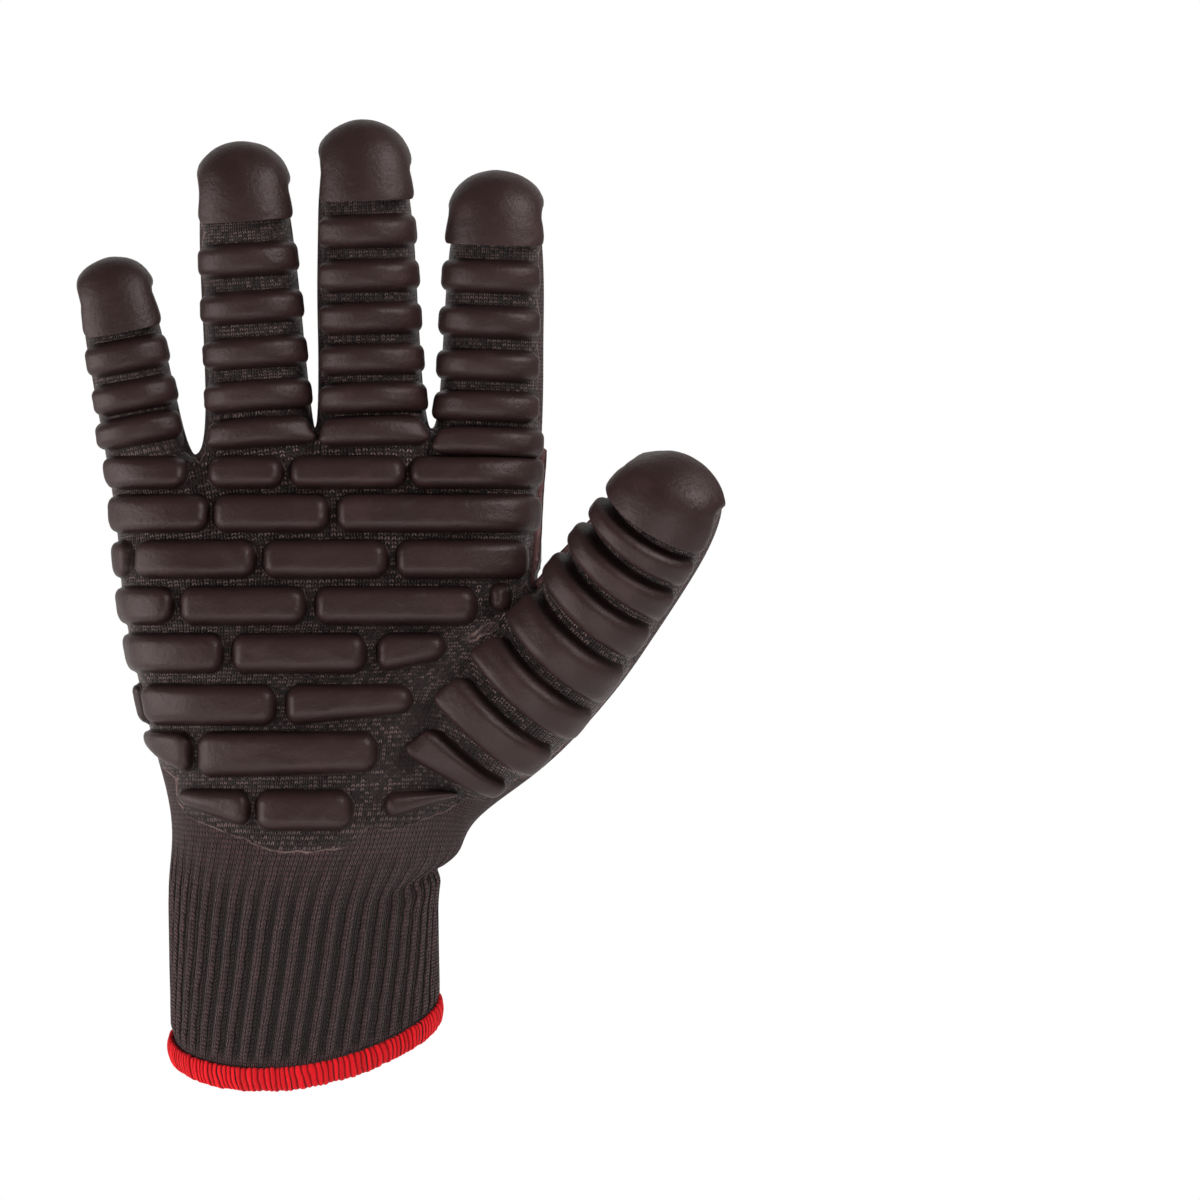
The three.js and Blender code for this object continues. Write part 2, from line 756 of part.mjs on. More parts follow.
// How far each corner of the underside has to rise, so that the straight faces between them clear the skin
function underLifts(columns, rows, ray) {
  const corners = columns.map((column) => rows.map((row) => above(ray(column, row), 0)));
  const lifts = columns.map(() => rows.map(() => 0));
  const target = new THREE.Vector3();
  for (let i = 0; i < columns.length - 1; i++) {
    for (let j = 0; j < rows.length - 1; j++) {
      const around = [[i, j], [i + 1, j], [i + 1, j + 1], [i, j + 1]];
      const [a, b, c, d] = around.map(([k, l]) => corners[k][l]);
      for (const [u, v] of probes) {
        const column = THREE.MathUtils.lerp(columns[i], columns[i + 1], u);
        const { origin, direction } = ray(column, THREE.MathUtils.lerp(rows[j], rows[j + 1], v));
        const probe = new THREE.Ray(leanPoint(origin), leanDirection(direction));
        const depths = [[a, b, c], [a, c, d], [a, b, d], [b, c, d]]
          .map((face) => probe.intersectTriangle(...face, false, target)?.distanceTo(probe.origin))
          .filter((depth) => depth !== undefined);
        const excess = reach(origin, direction) + padClearance * probeShare - Math.min(...depths);
        if (depths.length && excess > 0) {
          for (const [k, l] of around) lifts[k][l] = Math.max(lifts[k][l], excess * liftSpare);
        }
      }
    }
  }
  return lifts;
}

// A closed pad over a grid of rays: ray(column, row) for columns and rows from 0 to 1, rise(column, row) is its
// height there. The underside keeps only the rows in under.
function padGeometry({ columns, rows, under, ray, rise }) {
  const solid = new Solid();
  const lifts = underLifts(columns, under, ray);
  const sections = columns.map((column, i) => {
    const lift = Math.max(...lifts[i]);
    const lifted = (row) => (under.length === rows.length ? lifts[i][rows.indexOf(row)] : lift);
    const top = rows.map((row) => solid.add(above(ray(column, row), lifted(row) + rise(column, row))));
    const bottom = under.map((row, j) => solid.add(above(ray(column, row), lifts[i][j])));
    return { top, bottom, ring: [...top, ...bottom.toReversed()] };
  });
  sections.slice(1).forEach((section, i) => solid.zip(section.ring, sections[i].ring));
  closeEnd(solid, sections[0], false);
  closeEnd(solid, sections.at(-1), true);
  return solid.geometry();
}

// Fills the end of a pad between its top and bottom rows
function closeEnd(solid, { top, bottom }, last) {
  let i = 0;
  let j = 0;
  while (i < top.length - 1 || j < bottom.length - 1) {
    const risesTop = j === bottom.length - 1 || (i + 1) * (bottom.length - 1) <= (j + 1) * (top.length - 1);
    const next = risesTop && i < top.length - 1 ? top[i + 1] : bottom[j + 1];
    if (last) solid.triangle(top[i], bottom[j], next);
    else solid.triangle(top[i], next, bottom[j]);
    if (next === top[i + 1]) i += 1;
    else j += 1;
  }
}

// Rounded ends of a bar or brick: how much of its height and of its thickness is left near either end
const endShape = [
  { column: 0, height: 0.6, thickness: 0.45 },
  { column: 0.07, height: 0.92, thickness: 0.85 },
];
const crossSection = [
  { row: 0, thickness: 0.5 },
  { row: 0.2, thickness: 1 },
  { row: 0.8, thickness: 1 },
  { row: 1, thickness: 0.5 },
];

function endColumns(steps) {
  const middle = Array.from({ length: Math.max(steps - 1, 0) }, (_, k) => (k + 1) / steps);
  return [0, endShape[1].column, ...middle, 1 - endShape[1].column, 1];
}

function endScale(column, key) {
  const edge = Math.min(column, 1 - column);
  if (edge < 0.001) return endShape[0][key];
  return edge < endShape[1].column + 0.001 ? endShape[1][key] : 1;
}

// The row of a pad's grid after rounding its ends and slanting its lower edge
function shapedRow(column, row, cutLeft, cutRight) {
  const low = THREE.MathUtils.lerp(cutLeft, cutRight, column);
  const middle = (1 + low) / 2;
  return middle + (row - 0.5) * (1 - low) * endScale(column, "height");
}

function crossRise(row) {
  return crossSection.find((point) => Math.abs(point.row - row) < 0.001).thickness;
}

// A bar round a finger or the thumb, thick over the front and thin towards the sides
function barGeometry(spine, { along, fromDeg, toDeg, cutLeft = 0, cutRight = 0 }) {
  const height = barHeight / spine.length;
  const steps = Math.ceil((toDeg - fromDeg) / barStepDeg);
  return padGeometry({
    columns: endColumns(steps),
    rows: crossSection.map((point) => point.row),
    under: [0, 1],
    ray: (column, row) => {
      const level = along + (shapedRow(column, row, cutLeft, cutRight) - 0.5) * height;
      const { centre, front, right } = spineFrame(spine, level);
      return { origin: centre, direction: turned(front, right, THREE.MathUtils.lerp(fromDeg, toDeg, column)) };
    },
    rise: (column, row) => {
      const side = Math.abs(THREE.MathUtils.lerp(fromDeg, toDeg, column)) / 90;
      return barThickness * (1 - barSideLoss * side ** 3) * endScale(column, "thickness") * crossRise(row);
    },
  });
}

// The pad over a fingertip: straight up the finger, then over its end
function capGeometry(spine, { along: start, fromDeg, toDeg }) {
  return padGeometry({
    columns: capColumns,
    rows: capRows,
    under: capRows,
    ray: (column, row) => {
      const along = THREE.MathUtils.lerp(start, capTop, Math.min(row * 2, 1));
      const { centre, axis, front, right } = spineFrame(spine, along);
      const across = 0.5 + (column - 0.5) * (row === 0 ? capFoot : 1);
      const around = turned(front, right, THREE.MathUtils.lerp(fromDeg, toDeg, across));
      return { origin: centre, direction: turned(around, axis, Math.max(row - 0.5, 0) * capOverDeg) };
    },
    rise: (column, row) => {
      const side = Math.abs(column * 2 - 1);
      const edge = row === 0 || row === 1 ? capEdge.end : 1;
      return capThickness * edge * (side === 1 ? capEdge.side : 1 - capSideLoss * side ** 3);
    },
  });
}

// A ray out of the palm's front at an arc length across it, turning round either edge
function palmRay(across, up, edges) {
  const level = up * palmLength;
  const x = THREE.MathUtils.clamp(across, edges.left, edges.right);
  const degrees = THREE.MathUtils.radToDeg((across - x) / edges.radius);
  const front = new THREE.Vector3(0, -1, 0);
  const side = new THREE.Vector3(1, 0, 0);
  return { origin: new THREE.Vector3(x, 0, level), direction: turned(front, side, degrees) };
}

// Where the palm's front starts to turn round its edges at a level
function palmEdges(up) {
  const radius = palmThickness * palmEdgeRadius;
  const from = new THREE.Vector3(0, 0, up * palmLength);
  const left = radius - reach(from, new THREE.Vector3(-1, 0, 0));
  const right = reach(from, new THREE.Vector3(1, 0, 0)) - radius;
  return { left, right, radius };
}

// The arc length across the palm for a place seen from the front
function arcAcross(seen, { left, right, radius }) {
  const bend = (past) => radius * Math.asin(Math.min(past / radius, 0.98));
  if (seen < left) return left - bend(left - seen);
  return seen > right ? right + bend(seen - right) : seen;
}

function brickGeometry({ up, height }, { from, to, cutLeft = 0, cutRight = 0 }) {
  const edges = palmEdges(up);
  const start = arcAcross(from * palmWidth, edges);
  const end = arcAcross(to * palmWidth, edges);
  const steps = Math.ceil((end - start) / brickStep);
  return padGeometry({
    columns: endColumns(steps),
    rows: crossSection.map((point) => point.row),
    under: [0, 1],
    ray: (column, row) => {
      const level = up + (shapedRow(column, row, cutLeft, cutRight) - 0.5) * height;
      return palmRay(THREE.MathUtils.lerp(start, end, column), level, edges);
    },
    rise: (column, row) => {
      const across = THREE.MathUtils.lerp(start, end, column);
      const past = Math.max(edges.left - across, across - edges.right, 0) / edges.radius;
      const thickness = brickThickness * (1 - brickEdgeLoss * Math.min(past, 1));
      return thickness * endScale(column, "thickness") * crossRise(row);
    },
  });
}

// Stations of the sheet in the crook of the thumb, down the palm's edge, across the web and out along the
// thumb: each looks straight out of the crook from inside the hand, and round to the back
function crookStations() {
  const spine = thumbSpine();
  const palm = crookPalm.map(({ up, frontDeg, backDeg }) => {
    const origin = new THREE.Vector3(palmEdges(up).right, 0, up * palmLength);
    return { origin, out: new THREE.Vector3(1, 0, 0), back: new THREE.Vector3(0, 1, 0), frontDeg, backDeg };
  });
  const thumb = crookThumb.map(({ along, frontDeg, backDeg }) => {
    const { centre, front, right } = spineFrame(spine, along);
    return { origin: centre, out: right.clone().negate(), back: front.clone().negate(), frontDeg, backDeg };
  });
  const web = webSteps.map((share) => blendStations(palm.at(-1), thumb[0], share));
  return [...palm, ...web, ...thumb];
}

function blendStations(a, b, share) {
  const out = a.out.clone().lerp(b.out, share).normalize();
  const back = a.back.clone().lerp(b.back, share);
  back.addScaledVector(out, -back.dot(out)).normalize();
  return {
    origin: a.origin.clone().lerp(b.origin, share),
    out,
    back,
    frontDeg: THREE.MathUtils.lerp(a.frontDeg, b.frontDeg, share),
    backDeg: THREE.MathUtils.lerp(a.backDeg, b.backDeg, share),
  };
}

function crookGeometry() {
  const stations = crookStations();
  const last = stations.length - 1;
  return padGeometry({
    columns: stations.map((_, k) => k / last),
    rows: sheetRows,
    under: sheetRows,
    ray: (column, row) => {
      const k = Math.min(Math.floor(column * last + 1e-6), last - 1);
      const station = blendStations(stations[k], stations[k + 1], column * last - k);
      const degrees = THREE.MathUtils.lerp(station.frontDeg, station.backDeg, row);
      return { origin: station.origin, direction: turned(station.out, station.back, degrees) };
    },
    rise: (column, row) => {
      const end = column === 0 || column === 1 || row === 0 || row === 1;
      return sheetThickness * (end ? sheetEdge : 1);
    },
  });
}

const glove = new THREE.Group();

function addPart(name, geometry, material) {
  const mesh = new THREE.Mesh(geometry, material);
  mesh.name = name;
  glove.add(mesh);
}

const knit = new THREE.MeshStandardMaterial({ color: 0x1d1a1b, roughness: 0.95, metalness: 0 });
const rubber = new THREE.MeshStandardMaterial({ color: 0x2a2627, roughness: 0.55, metalness: 0 });
const redYarn = new THREE.MeshStandardMaterial({ color: 0xc8141c, roughness: 0.85, metalness: 0 });

addPart("liner", linerGeometry(), knit);
addPart("hem", hemGeometry(), redYarn);

for (const finger of fingers) {
  const spine = fingerSpine(finger);
  const around = [finger.fromDeg, finger.toDeg];
  for (let bar = 0; bar < finger.bars; bar++) {
    const along = THREE.MathUtils.lerp(finger.barFrom, finger.barTo, bar / (finger.bars - 1));
    const [fromDeg, toDeg] = bar === 0 ? finger.footDeg : around;
    addPart(`${finger.name}_bar_${bar + 1}`, barGeometry(spine, { along, fromDeg, toDeg }), rubber);
  }
  const cap = { along: finger.capFrom, fromDeg: finger.fromDeg, toDeg: finger.toDeg };
  addPart(`${finger.name}_tip_pad`, capGeometry(spine, cap), rubber);
}

for (const bar of thumbBars) addPart(bar.name, barGeometry(thumbSpine(), bar), rubber);
addPart("thumb_tip_pad", capGeometry(thumbSpine(), thumbCap), rubber);

palmRows.forEach((row, r) => {
  row.pads.forEach((pad, k) => addPart(`palm_row_${r + 1}_pad_${k + 1}`, brickGeometry(row, pad), rubber));
});
addPart(heelPad.name, brickGeometry(heelPad, heelPad), rubber);
addPart(crotchPad.name, brickGeometry(crotchPad, crotchPad), rubber);
addPart("crook_sheet", crookGeometry(), rubber);

export default glove;
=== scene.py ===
"""A knitted work glove with rubber pads, dressed around its fixed frame.

Metres, +Z from the wrist to the fingers, palm to -Y, thumb to +X. The origin is the middle of the wrist
opening.
"""

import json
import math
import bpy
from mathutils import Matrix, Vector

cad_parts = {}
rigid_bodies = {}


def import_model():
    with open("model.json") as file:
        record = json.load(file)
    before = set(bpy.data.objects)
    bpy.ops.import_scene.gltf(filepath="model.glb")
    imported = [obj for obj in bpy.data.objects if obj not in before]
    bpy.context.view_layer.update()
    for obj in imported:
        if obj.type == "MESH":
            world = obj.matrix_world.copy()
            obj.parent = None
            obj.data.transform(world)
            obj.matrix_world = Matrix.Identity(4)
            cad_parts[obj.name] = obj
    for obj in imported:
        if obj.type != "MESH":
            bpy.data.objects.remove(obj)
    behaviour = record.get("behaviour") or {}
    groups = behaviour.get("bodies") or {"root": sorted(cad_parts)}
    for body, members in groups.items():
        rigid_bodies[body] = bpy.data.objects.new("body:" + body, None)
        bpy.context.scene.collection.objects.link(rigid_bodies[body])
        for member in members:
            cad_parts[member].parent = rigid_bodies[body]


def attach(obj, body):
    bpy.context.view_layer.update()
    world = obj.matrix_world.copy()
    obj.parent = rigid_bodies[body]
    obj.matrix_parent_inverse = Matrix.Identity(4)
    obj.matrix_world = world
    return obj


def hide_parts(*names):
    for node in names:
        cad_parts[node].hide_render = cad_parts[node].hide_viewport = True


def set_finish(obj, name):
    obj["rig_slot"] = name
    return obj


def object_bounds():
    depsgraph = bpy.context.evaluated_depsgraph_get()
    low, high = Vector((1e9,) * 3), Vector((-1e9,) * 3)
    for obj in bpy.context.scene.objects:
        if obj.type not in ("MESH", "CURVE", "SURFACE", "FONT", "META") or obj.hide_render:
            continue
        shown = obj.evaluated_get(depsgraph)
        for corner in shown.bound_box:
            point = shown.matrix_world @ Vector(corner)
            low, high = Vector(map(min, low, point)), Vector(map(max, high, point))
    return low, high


bl_info = {
    "name": "Anti-vibration work glove",
    "version": (1, 0, 0),
    "blender": (4, 5, 0),
    "location": "3D View > Sidebar > Glove",
    "description": "A knitted work glove with rubber pads on its palm side",
    "category": "Add Mesh",
}

from functools import lru_cache

import bpy
import numpy as np
from bpy.props import FloatProperty, FloatVectorProperty, IntProperty, PointerProperty
from mathutils import Vector, noise
from mathutils.bvhtree import BVHTree

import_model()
cad_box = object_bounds()

MM = 0.001
TURN = 2 * math.pi

# The hand that the glove is filled out by
CUFF_WIDTH = 66 * MM
CUFF_DEPTH = 54 * MM
CUFF_HEIGHT = 45 * MM
PALM_WIDTH = 100 * MM
PALM_LENGTH = 110 * MM
PALM_THICKNESS = 34 * MM
LEAN = math.radians(12)
HEM_DIP = 3.5 * MM
HEM_TILT = 9 * MM
FINGER_FLATNESS = 0.92

# Each finger from the little one to the index. Across and tip say where its foot and its tip lie, in shares
# of the palm's width, and up how high its foot lies, in shares of the palm's length. The curl, the first
# and last bar and the cap's start are shares of the finger's length. The degrees say how far the bars, the
# lowest bar and the cap reach round it, counted from its front towards the thumb.
FINGERS = (
    {
        "name": "little", "length": 55 * MM, "width": 18.4 * MM, "across": -0.378, "up": 0.885,
        "tip": -0.479, "curl": 0.1, "bars": 3, "bar_from": 0.235, "bar_to": 0.58, "cap": 0.69,
        "around": (-60, 76), "foot": (-68, 66), "cap_around": (-60, 77),
    },
    {
        "name": "ring", "length": 75 * MM, "width": 23.2 * MM, "across": -0.104, "up": 0.965,
        "tip": -0.154, "curl": 0.08, "bars": 5, "bar_from": 0.038, "bar_to": 0.618, "cap": 0.745,
        "around": (-61, 76), "foot": (-54, 58), "cap_around": (-62, 77),
    },
    {
        "name": "middle", "length": 77.5 * MM, "width": 23.5 * MM, "across": 0.172, "up": 0.99,
        "tip": 0.15, "curl": 0.08, "bars": 6, "bar_from": 0.005, "bar_to": 0.652, "cap": 0.75,
        "around": (-56, 76), "foot": (-49, 57), "cap_around": (-60, 77),
    },
    {
        "name": "index", "length": 67.5 * MM, "width": 23.5 * MM, "across": 0.468, "up": 0.965,
        "tip": 0.49, "curl": 0.08, "bars": 5, "bar_from": 0.008, "bar_to": 0.624, "cap": 0.74,
        "around": (-76, 58), "foot": (-52, 70), "cap_around": (-77, 70),
    },
)

# Sections of a finger and of the thumb: a share of the length from the crotch, the girth there, and how
# much broader it is than that
FINGER_SECTIONS = (
    (0, 1.08, 1),
    (0.11, 1.05, 1.05),
    (0.45, 0.99, 1.08),
    (0.78, 0.93, 1.08),
    (0.93, 0.72, 1.03),
)
THUMB_SECTIONS = ((0, 1.2, 1), (0.2, 1.08, 1), (0.5, 1.0, 1), (0.78, 0.95, 1), (0.925, 0.72, 1))

# The thumb's root in shares of the palm's width, thickness and length, the middle and end of its curve in
# shares of its own length, and the way that its pads face
THUMB_LENGTH = 60 * MM
THUMB_WIDTH = 28 * MM
THUMB_ROOT = (0.65, -0.3, 0.5)
THUMB_BEND = (0.45, -0.2, 0.5)
THUMB_REACH = (0.5, -0.35, 0.75)
THUMB_FACING = (-0.42, -0.88, -0.1)

# Sections of the hand, in shares of the palm's width, length and thickness
HEEL = {"up": 0.13, "left": -0.325, "right": 0.44, "depth": 1.3}
BALL = {
    "up": 0.34, "left": -0.375, "crease": 0.31, "crease_up": 0.38, "depth": 1.16,
    "thumb": 0.49, "thumb_depth": -0.2, "thumb_up": 0.33, "girth": 0.34,
}
BALL_DEGREES = (75, 128, 180, 232, 285)
SPLIT = {"up": 0.58, "left": -0.43, "right": 0.55, "depth": 1.06, "web_out": 0.07, "web_up": 0.03}

# How far the outer edge of the palm stands out, how much its front and back bow, the rings between it and
# the fingers, and how far the grooves between the fingers are eased out and drop at the back
EDGE_OUT = 0.02
BOW = 0.36
PALM_STEPS = (0.42, 0.76)
CROWN_UP = 0.95
GROOVE_EASE = 0.6
GROOVE_DROP = 0.03

# The bars are closer together and lower towards the foot of the finger
BAR_CROWDING = 1.11
BAR_FOOT_HEIGHT = 0.91

# Bars of the thumb: where along it, the degrees that they reach round it, their height, and how much of the
# lower edge is cut away at the right end
THUMB_BARS = (
    ("thumb_base_bar_1", -0.59, -18, 60, 10 * MM, 0.4),
    ("thumb_base_bar_2", -0.36, -30, 70, 10.4 * MM, 0),
    ("thumb_base_bar_3", -0.14, -40, 82, 9.6 * MM, 0),
    ("thumb_base_bar_4", 0.05, -54, 82, 8.6 * MM, 0),
    ("thumb_bar_1", 0.22, -68, 77, 8.2 * MM, 0),
    ("thumb_bar_2", 0.38, -70, 77, 8.2 * MM, 0),
    ("thumb_bar_3", 0.54, -70, 77, 8.2 * MM, 0),
)
THUMB_CAP = (0.66, (-77, 77))

# Rows of pads on the palm: up and height in shares of its length, then each pad's left and right end in
# shares of its width, and how much of its lower edge is cut away at the left and at the right
PALM_ROWS = (
    (0.9, 0.077, ((-0.485, -0.277), (-0.225, -0.037), (-0.022, 0.265), (0.273, 0.59))),
    (0.808, 0.089, ((-0.48, -0.22), (-0.21, 0.077), (0.095, 0.59))),
    (0.705, 0.089, ((-0.475, -0.413), (-0.4, -0.103), (-0.085, 0.222), (0.242, 0.55))),
    (0.601, 0.089, ((-0.46, -0.305), (-0.288, 0.022), (0.045, 0.44))),
    (0.495, 0.092, ((-0.44, -0.18), (-0.158, 0.17), (0.197, 0.365, 0, 0.35))),
    (0.38, 0.094, ((-0.42, -0.375), (-0.365, -0.05), (-0.025, 0.285, 0, 0.3))),
    (0.27, 0.105, ((-0.37, -0.252, 0.6, 0), (-0.24, 0.198, 0, 0.12))),
    (0.148, 0.092, ((-0.278, -0.113, 0.6, 0), (-0.097, 0.138))),
)
HEEL_PAD = (0.152, 0.078, (0.215, 0.385, 0.1, 0.75))
CROTCH_PAD = (0.62, 0.066, (0.472, 0.522))
PALM_EDGE_RADIUS = 0.42 * PALM_THICKNESS
STEEPEST_SEEN = 0.98
PALM_PAD_GROWTH = 0.3 * MM

# Stations of the sheet in the crook of the thumb: a share of the palm's length or of the thumb's, and the
# degrees that it spans from its front edge to its back edge
CROOK_PALM = ((0.96, 2, 26), (0.89, 2, 62), (0.79, 2, 76), (0.7, -8, 82))
CROOK_THUMB = ((0.1, -14, 88), (0.3, -4, 92), (0.5, 0, 92), (0.7, 8, 88), (0.86, 12, 70))
WEB_STEPS = (0.3, 0.55, 0.8)

# The control net of the hand: its columns, the wales of the knit in each, and how finely it is divided
RING_COLUMNS = 24
WALES_PER_COLUMN = 8
HAND_LEVEL = 3
SPLINE_SHRINK = (4 + 2 * math.cos(math.pi / 4)) / 6
RING_SHRINK = (4 + 2 * math.cos(TURN / RING_COLUMNS)) / 6
CUFF_COLUMNS = 384
CUFF_RISES = (0, 1 / 3, 2 / 3)
CUFF_ROWS_PER_RING = 13
CUFF_TWIST = 1.1


def unit(vector):
    return vector / np.linalg.norm(vector)


def mix(low, high, share):
    return low + (high - low) * share


def ease(low, high, value):
    """0 below low, 1 above high, smooth in between."""
    share = np.clip((value - low) / (high - low), 0, 1)
    return share * share * (3 - 2 * share)


def lean_direction(direction, share=1.0):
    """From the hand's own axes (across, depth, up) to the glove's."""
    across, depth, up = direction
    cos, sin = math.cos(LEAN * share), math.sin(LEAN * share)
    return np.array((across, depth * cos + up * sin, up * cos - depth * sin))


def lean_point(point, share=1.0):
    """From the hand's own frame, which starts at the wrist, to the glove's."""
    return lean_direction(point, share) + (0, 0, CUFF_HEIGHT)


def turned(first, second, degrees):
    angle = math.radians(degrees)
    return first * math.cos(angle) + second * math.sin(angle)


class Spine:
    """The curve that a finger or the thumb follows, and the way that its pads face."""

    def __init__(self, points, facing, length, width):
        self.points = [np.array(p, float) for p in points]
        self.facing = np.array(facing, float)
        self.length = length
        self.width = width

    def frame(self, along):
        """Centre, axis, front and right at a share of the length, past either end in a straight line."""
        t = min(max(along, 0), 1)
        a, b, c = self.points
        axis = unit((1 - t) * (b - a) + t * (c - b))
        centre = (1 - t) ** 2 * a + 2 * t * (1 - t) * b + t**2 * c + axis * (along - t) * self.length
        front = unit(self.facing - axis * (self.facing @ axis))
        return centre, axis, front, np.cross(axis, front)


def finger_spine(finger):
    length = finger["length"]
    base = np.array((finger["across"] * PALM_WIDTH, 0, finger["up"] * PALM_LENGTH))
    sideways = (finger["tip"] - finger["across"]) * PALM_WIDTH
    rise = math.sqrt(length**2 - sideways**2)
    middle = base + (sideways / 2, 0, rise / 2)
    tip = base + (sideways, -finger["curl"] * length, rise)
    return Spine((base, middle, tip), (0, -1, 0), length, finger["width"])


def thumb_spine():
    root = np.array(THUMB_ROOT) * (PALM_WIDTH, PALM_THICKNESS, PALM_LENGTH)
    middle = root + np.array(THUMB_BEND) * THUMB_LENGTH
    tip = root + np.array(THUMB_REACH) * THUMB_LENGTH
    return Spine((root, middle, tip), THUMB_FACING, THUMB_LENGTH, THUMB_WIDTH)


def section_points(spine, along, girth, broad):
    """The eight control points of a finger's section, from its left over the front to the right and back."""
    centre, _, front, right = spine.frame(along)
    across = spine.width / 2 / SPLINE_SHRINK * girth
    deep = across * FINGER_FLATNESS
    angles = [k / 8 * TURN for k in range(8)]
    return [centre - right * across * broad * math.cos(a) + front * deep * math.sin(a) for a in angles]


class Net:
    """The control net of the knit: points, quads, and at each corner of a quad its wale and its level."""

    def __init__(self):
        self.points = []
        self.quads = []
        self.stitches = []

    def add(self, point):
        self.points.append(point)
        return len(self.points) - 1

    def add_ring(self, points):
        return [self.add(p) for p in points]

    def join(self, lower, upper, wales, levels):
        low, high = levels
        for i, (left, right) in enumerate(wales):
            j = (i + 1) % len(lower)
            self.quads.append((lower[i], lower[j], upper[j], upper[i]))
            self.stitches += [(left, low), (right, low), (right, high), (left, high)]

    def cap(self, ring, point, wales, levels):
        low, high = levels
        pole = self.add(point)
        for i in range(0, len(ring), 2):
            self.quads.append((ring[i], ring[i + 1], ring[(i + 2) % len(ring)], pole))
            first, middle, last = wales[i][0], wales[i][1], wales[i + 1][1]
            self.stitches += [(first, low), (middle, low), (last, low), (middle, high)]


def wales_of(columns):
    """The wales at the left and right of each of these columns of the ring round the hand."""
    return [(k * WALES_PER_COLUMN, (k + 1) * WALES_PER_COLUMN) for k in columns]


def oval_point(left, right, up, depth, roundness, front, side=None):
    side = roundness if side is None else side
    half = depth / 2 * (1 - BOW * roundness**4)
    return (mix(left, right, (side + 1) / 2), -half if front else half, up)


def ring_angles():
    return [k / RING_COLUMNS * TURN for k in range(RING_COLUMNS)]


def wrist_ring():
    wide, deep = CUFF_WIDTH / 2, CUFF_DEPTH / 2
    return [lean_point((-wide * math.cos(a), -deep * math.sin(a), 0), 0.5) for a in ring_angles()]


def heel_ring():
    middle = (HEEL["left"] + HEEL["right"]) / 2 * PALM_WIDTH
    half = (HEEL["right"] - HEEL["left"]) / 2 * PALM_WIDTH
    deep = HEEL["depth"] / 2 * PALM_THICKNESS
    up = HEEL["up"] * PALM_LENGTH
    return [lean_point((middle - half * math.cos(a), -deep * math.sin(a), up)) for a in ring_angles()]


def palm_loop(left, up, point, beyond):
    """Points round the palm: its left edge, nine in front, those beyond its right edge, nine behind."""
    ring = [(left - EDGE_OUT * PALM_WIDTH, 0, up)]
    ring += [point(k / 4 - 1, True) for k in range(9)]
    ring += beyond
    ring += [point(k / 4 - 1, False) for k in range(8, -1, -1)]
    return ring


def ball_ring():
    """The ring round the palm and the ball of the thumb together."""
    left, crease = BALL["left"] * PALM_WIDTH, BALL["crease"] * PALM_WIDTH
    depth = BALL["depth"] * PALM_THICKNESS

    def palm_point(side, front):
        level = mix(BALL["up"], BALL["crease_up"], (side + 1) / 2) * PALM_LENGTH
        return oval_point(left, crease, level, depth, min(side, 0), front, side)

    _, _, front, right = thumb_spine().frame(0)
    middle = np.array(
        (BALL["thumb"] * PALM_WIDTH, BALL["thumb_depth"] * PALM_THICKNESS, BALL["thumb_up"] * PALM_LENGTH)
    )
    radius = BALL["girth"] * PALM_WIDTH / 2 / SPLINE_SHRINK
    angles = [math.radians(degrees) for degrees in BALL_DEGREES]
    thumb = [middle - right * radius * math.cos(a) + front * radius * math.sin(a) for a in angles]
    return [lean_point(p) for p in palm_loop(left, BALL["up"] * PALM_LENGTH, palm_point, thumb)]


def split_rings():
    """The ring where the thumb leaves the palm: 20 points round the palm, 8 round the thumb, 3 shared."""
    thumb = section_points(thumb_spine(), *THUMB_SECTIONS[0])
    left, right = SPLIT["left"] * PALM_WIDTH, SPLIT["right"] * PALM_WIDTH
    up = SPLIT["up"] * PALM_LENGTH
    depth = SPLIT["depth"] * PALM_THICKNESS
    web = (right + SPLIT["web_out"] * PALM_WIDTH, 0, up + SPLIT["web_up"] * PALM_LENGTH)

    def palm_point(side, front):
        return oval_point(left, right, up, depth, side, front)

    palm = [np.array(p) for p in palm_loop(left, up, palm_point, [web])]
    for k, t in ((9, 1), (10, 0), (11, 7)):
        palm[k] = (palm[k] + thumb[t]) / 2
    return [lean_point(p) for p in palm], [lean_point(p) for p in thumb]


def hand_net():
    """The outside of the hand from the wrist up."""
    net = Net()
    lower = net.add_ring(wrist_ring())
    level = 0
    around = wales_of(range(RING_COLUMNS))
    for points, up in ((heel_ring(), HEEL["up"]), (ball_ring(), BALL["up"])):
        ring = net.add_ring(points)
        net.join(lower, ring, around, (level, up * PALM_LENGTH))
        lower = ring
        level = up * PALM_LENGTH
    palm_points, thumb_points = split_rings()
    palm = net.add_ring(palm_points)
    outer = net.add_ring(thumb_points[2:7])
    split_level = SPLIT["up"] * PALM_LENGTH
    net.join(lower, palm[:10] + outer + palm[11:], around, (level, split_level))
    root = [palm[10], palm[9], *outer, palm[11]]
    add_tube(net, root, thumb_spine(), THUMB_SECTIONS, wales_of(range(8, 16)), split_level)
    add_fingers(net, palm)
    return net


def add_tube(net, root, spine, sections, wales, level):
    lower = root
    low = level
    for along, girth, broad in sections[1:]:
        high = level + along * spine.length
        ring = net.add_ring([lean_point(p) for p in section_points(spine, along, girth, broad)])
        net.join(lower, ring, wales, (low, high))
        lower = ring
        low = high
    net.cap(lower, lean_point(spine.frame(1)[0]), wales, (low, level + spine.length))


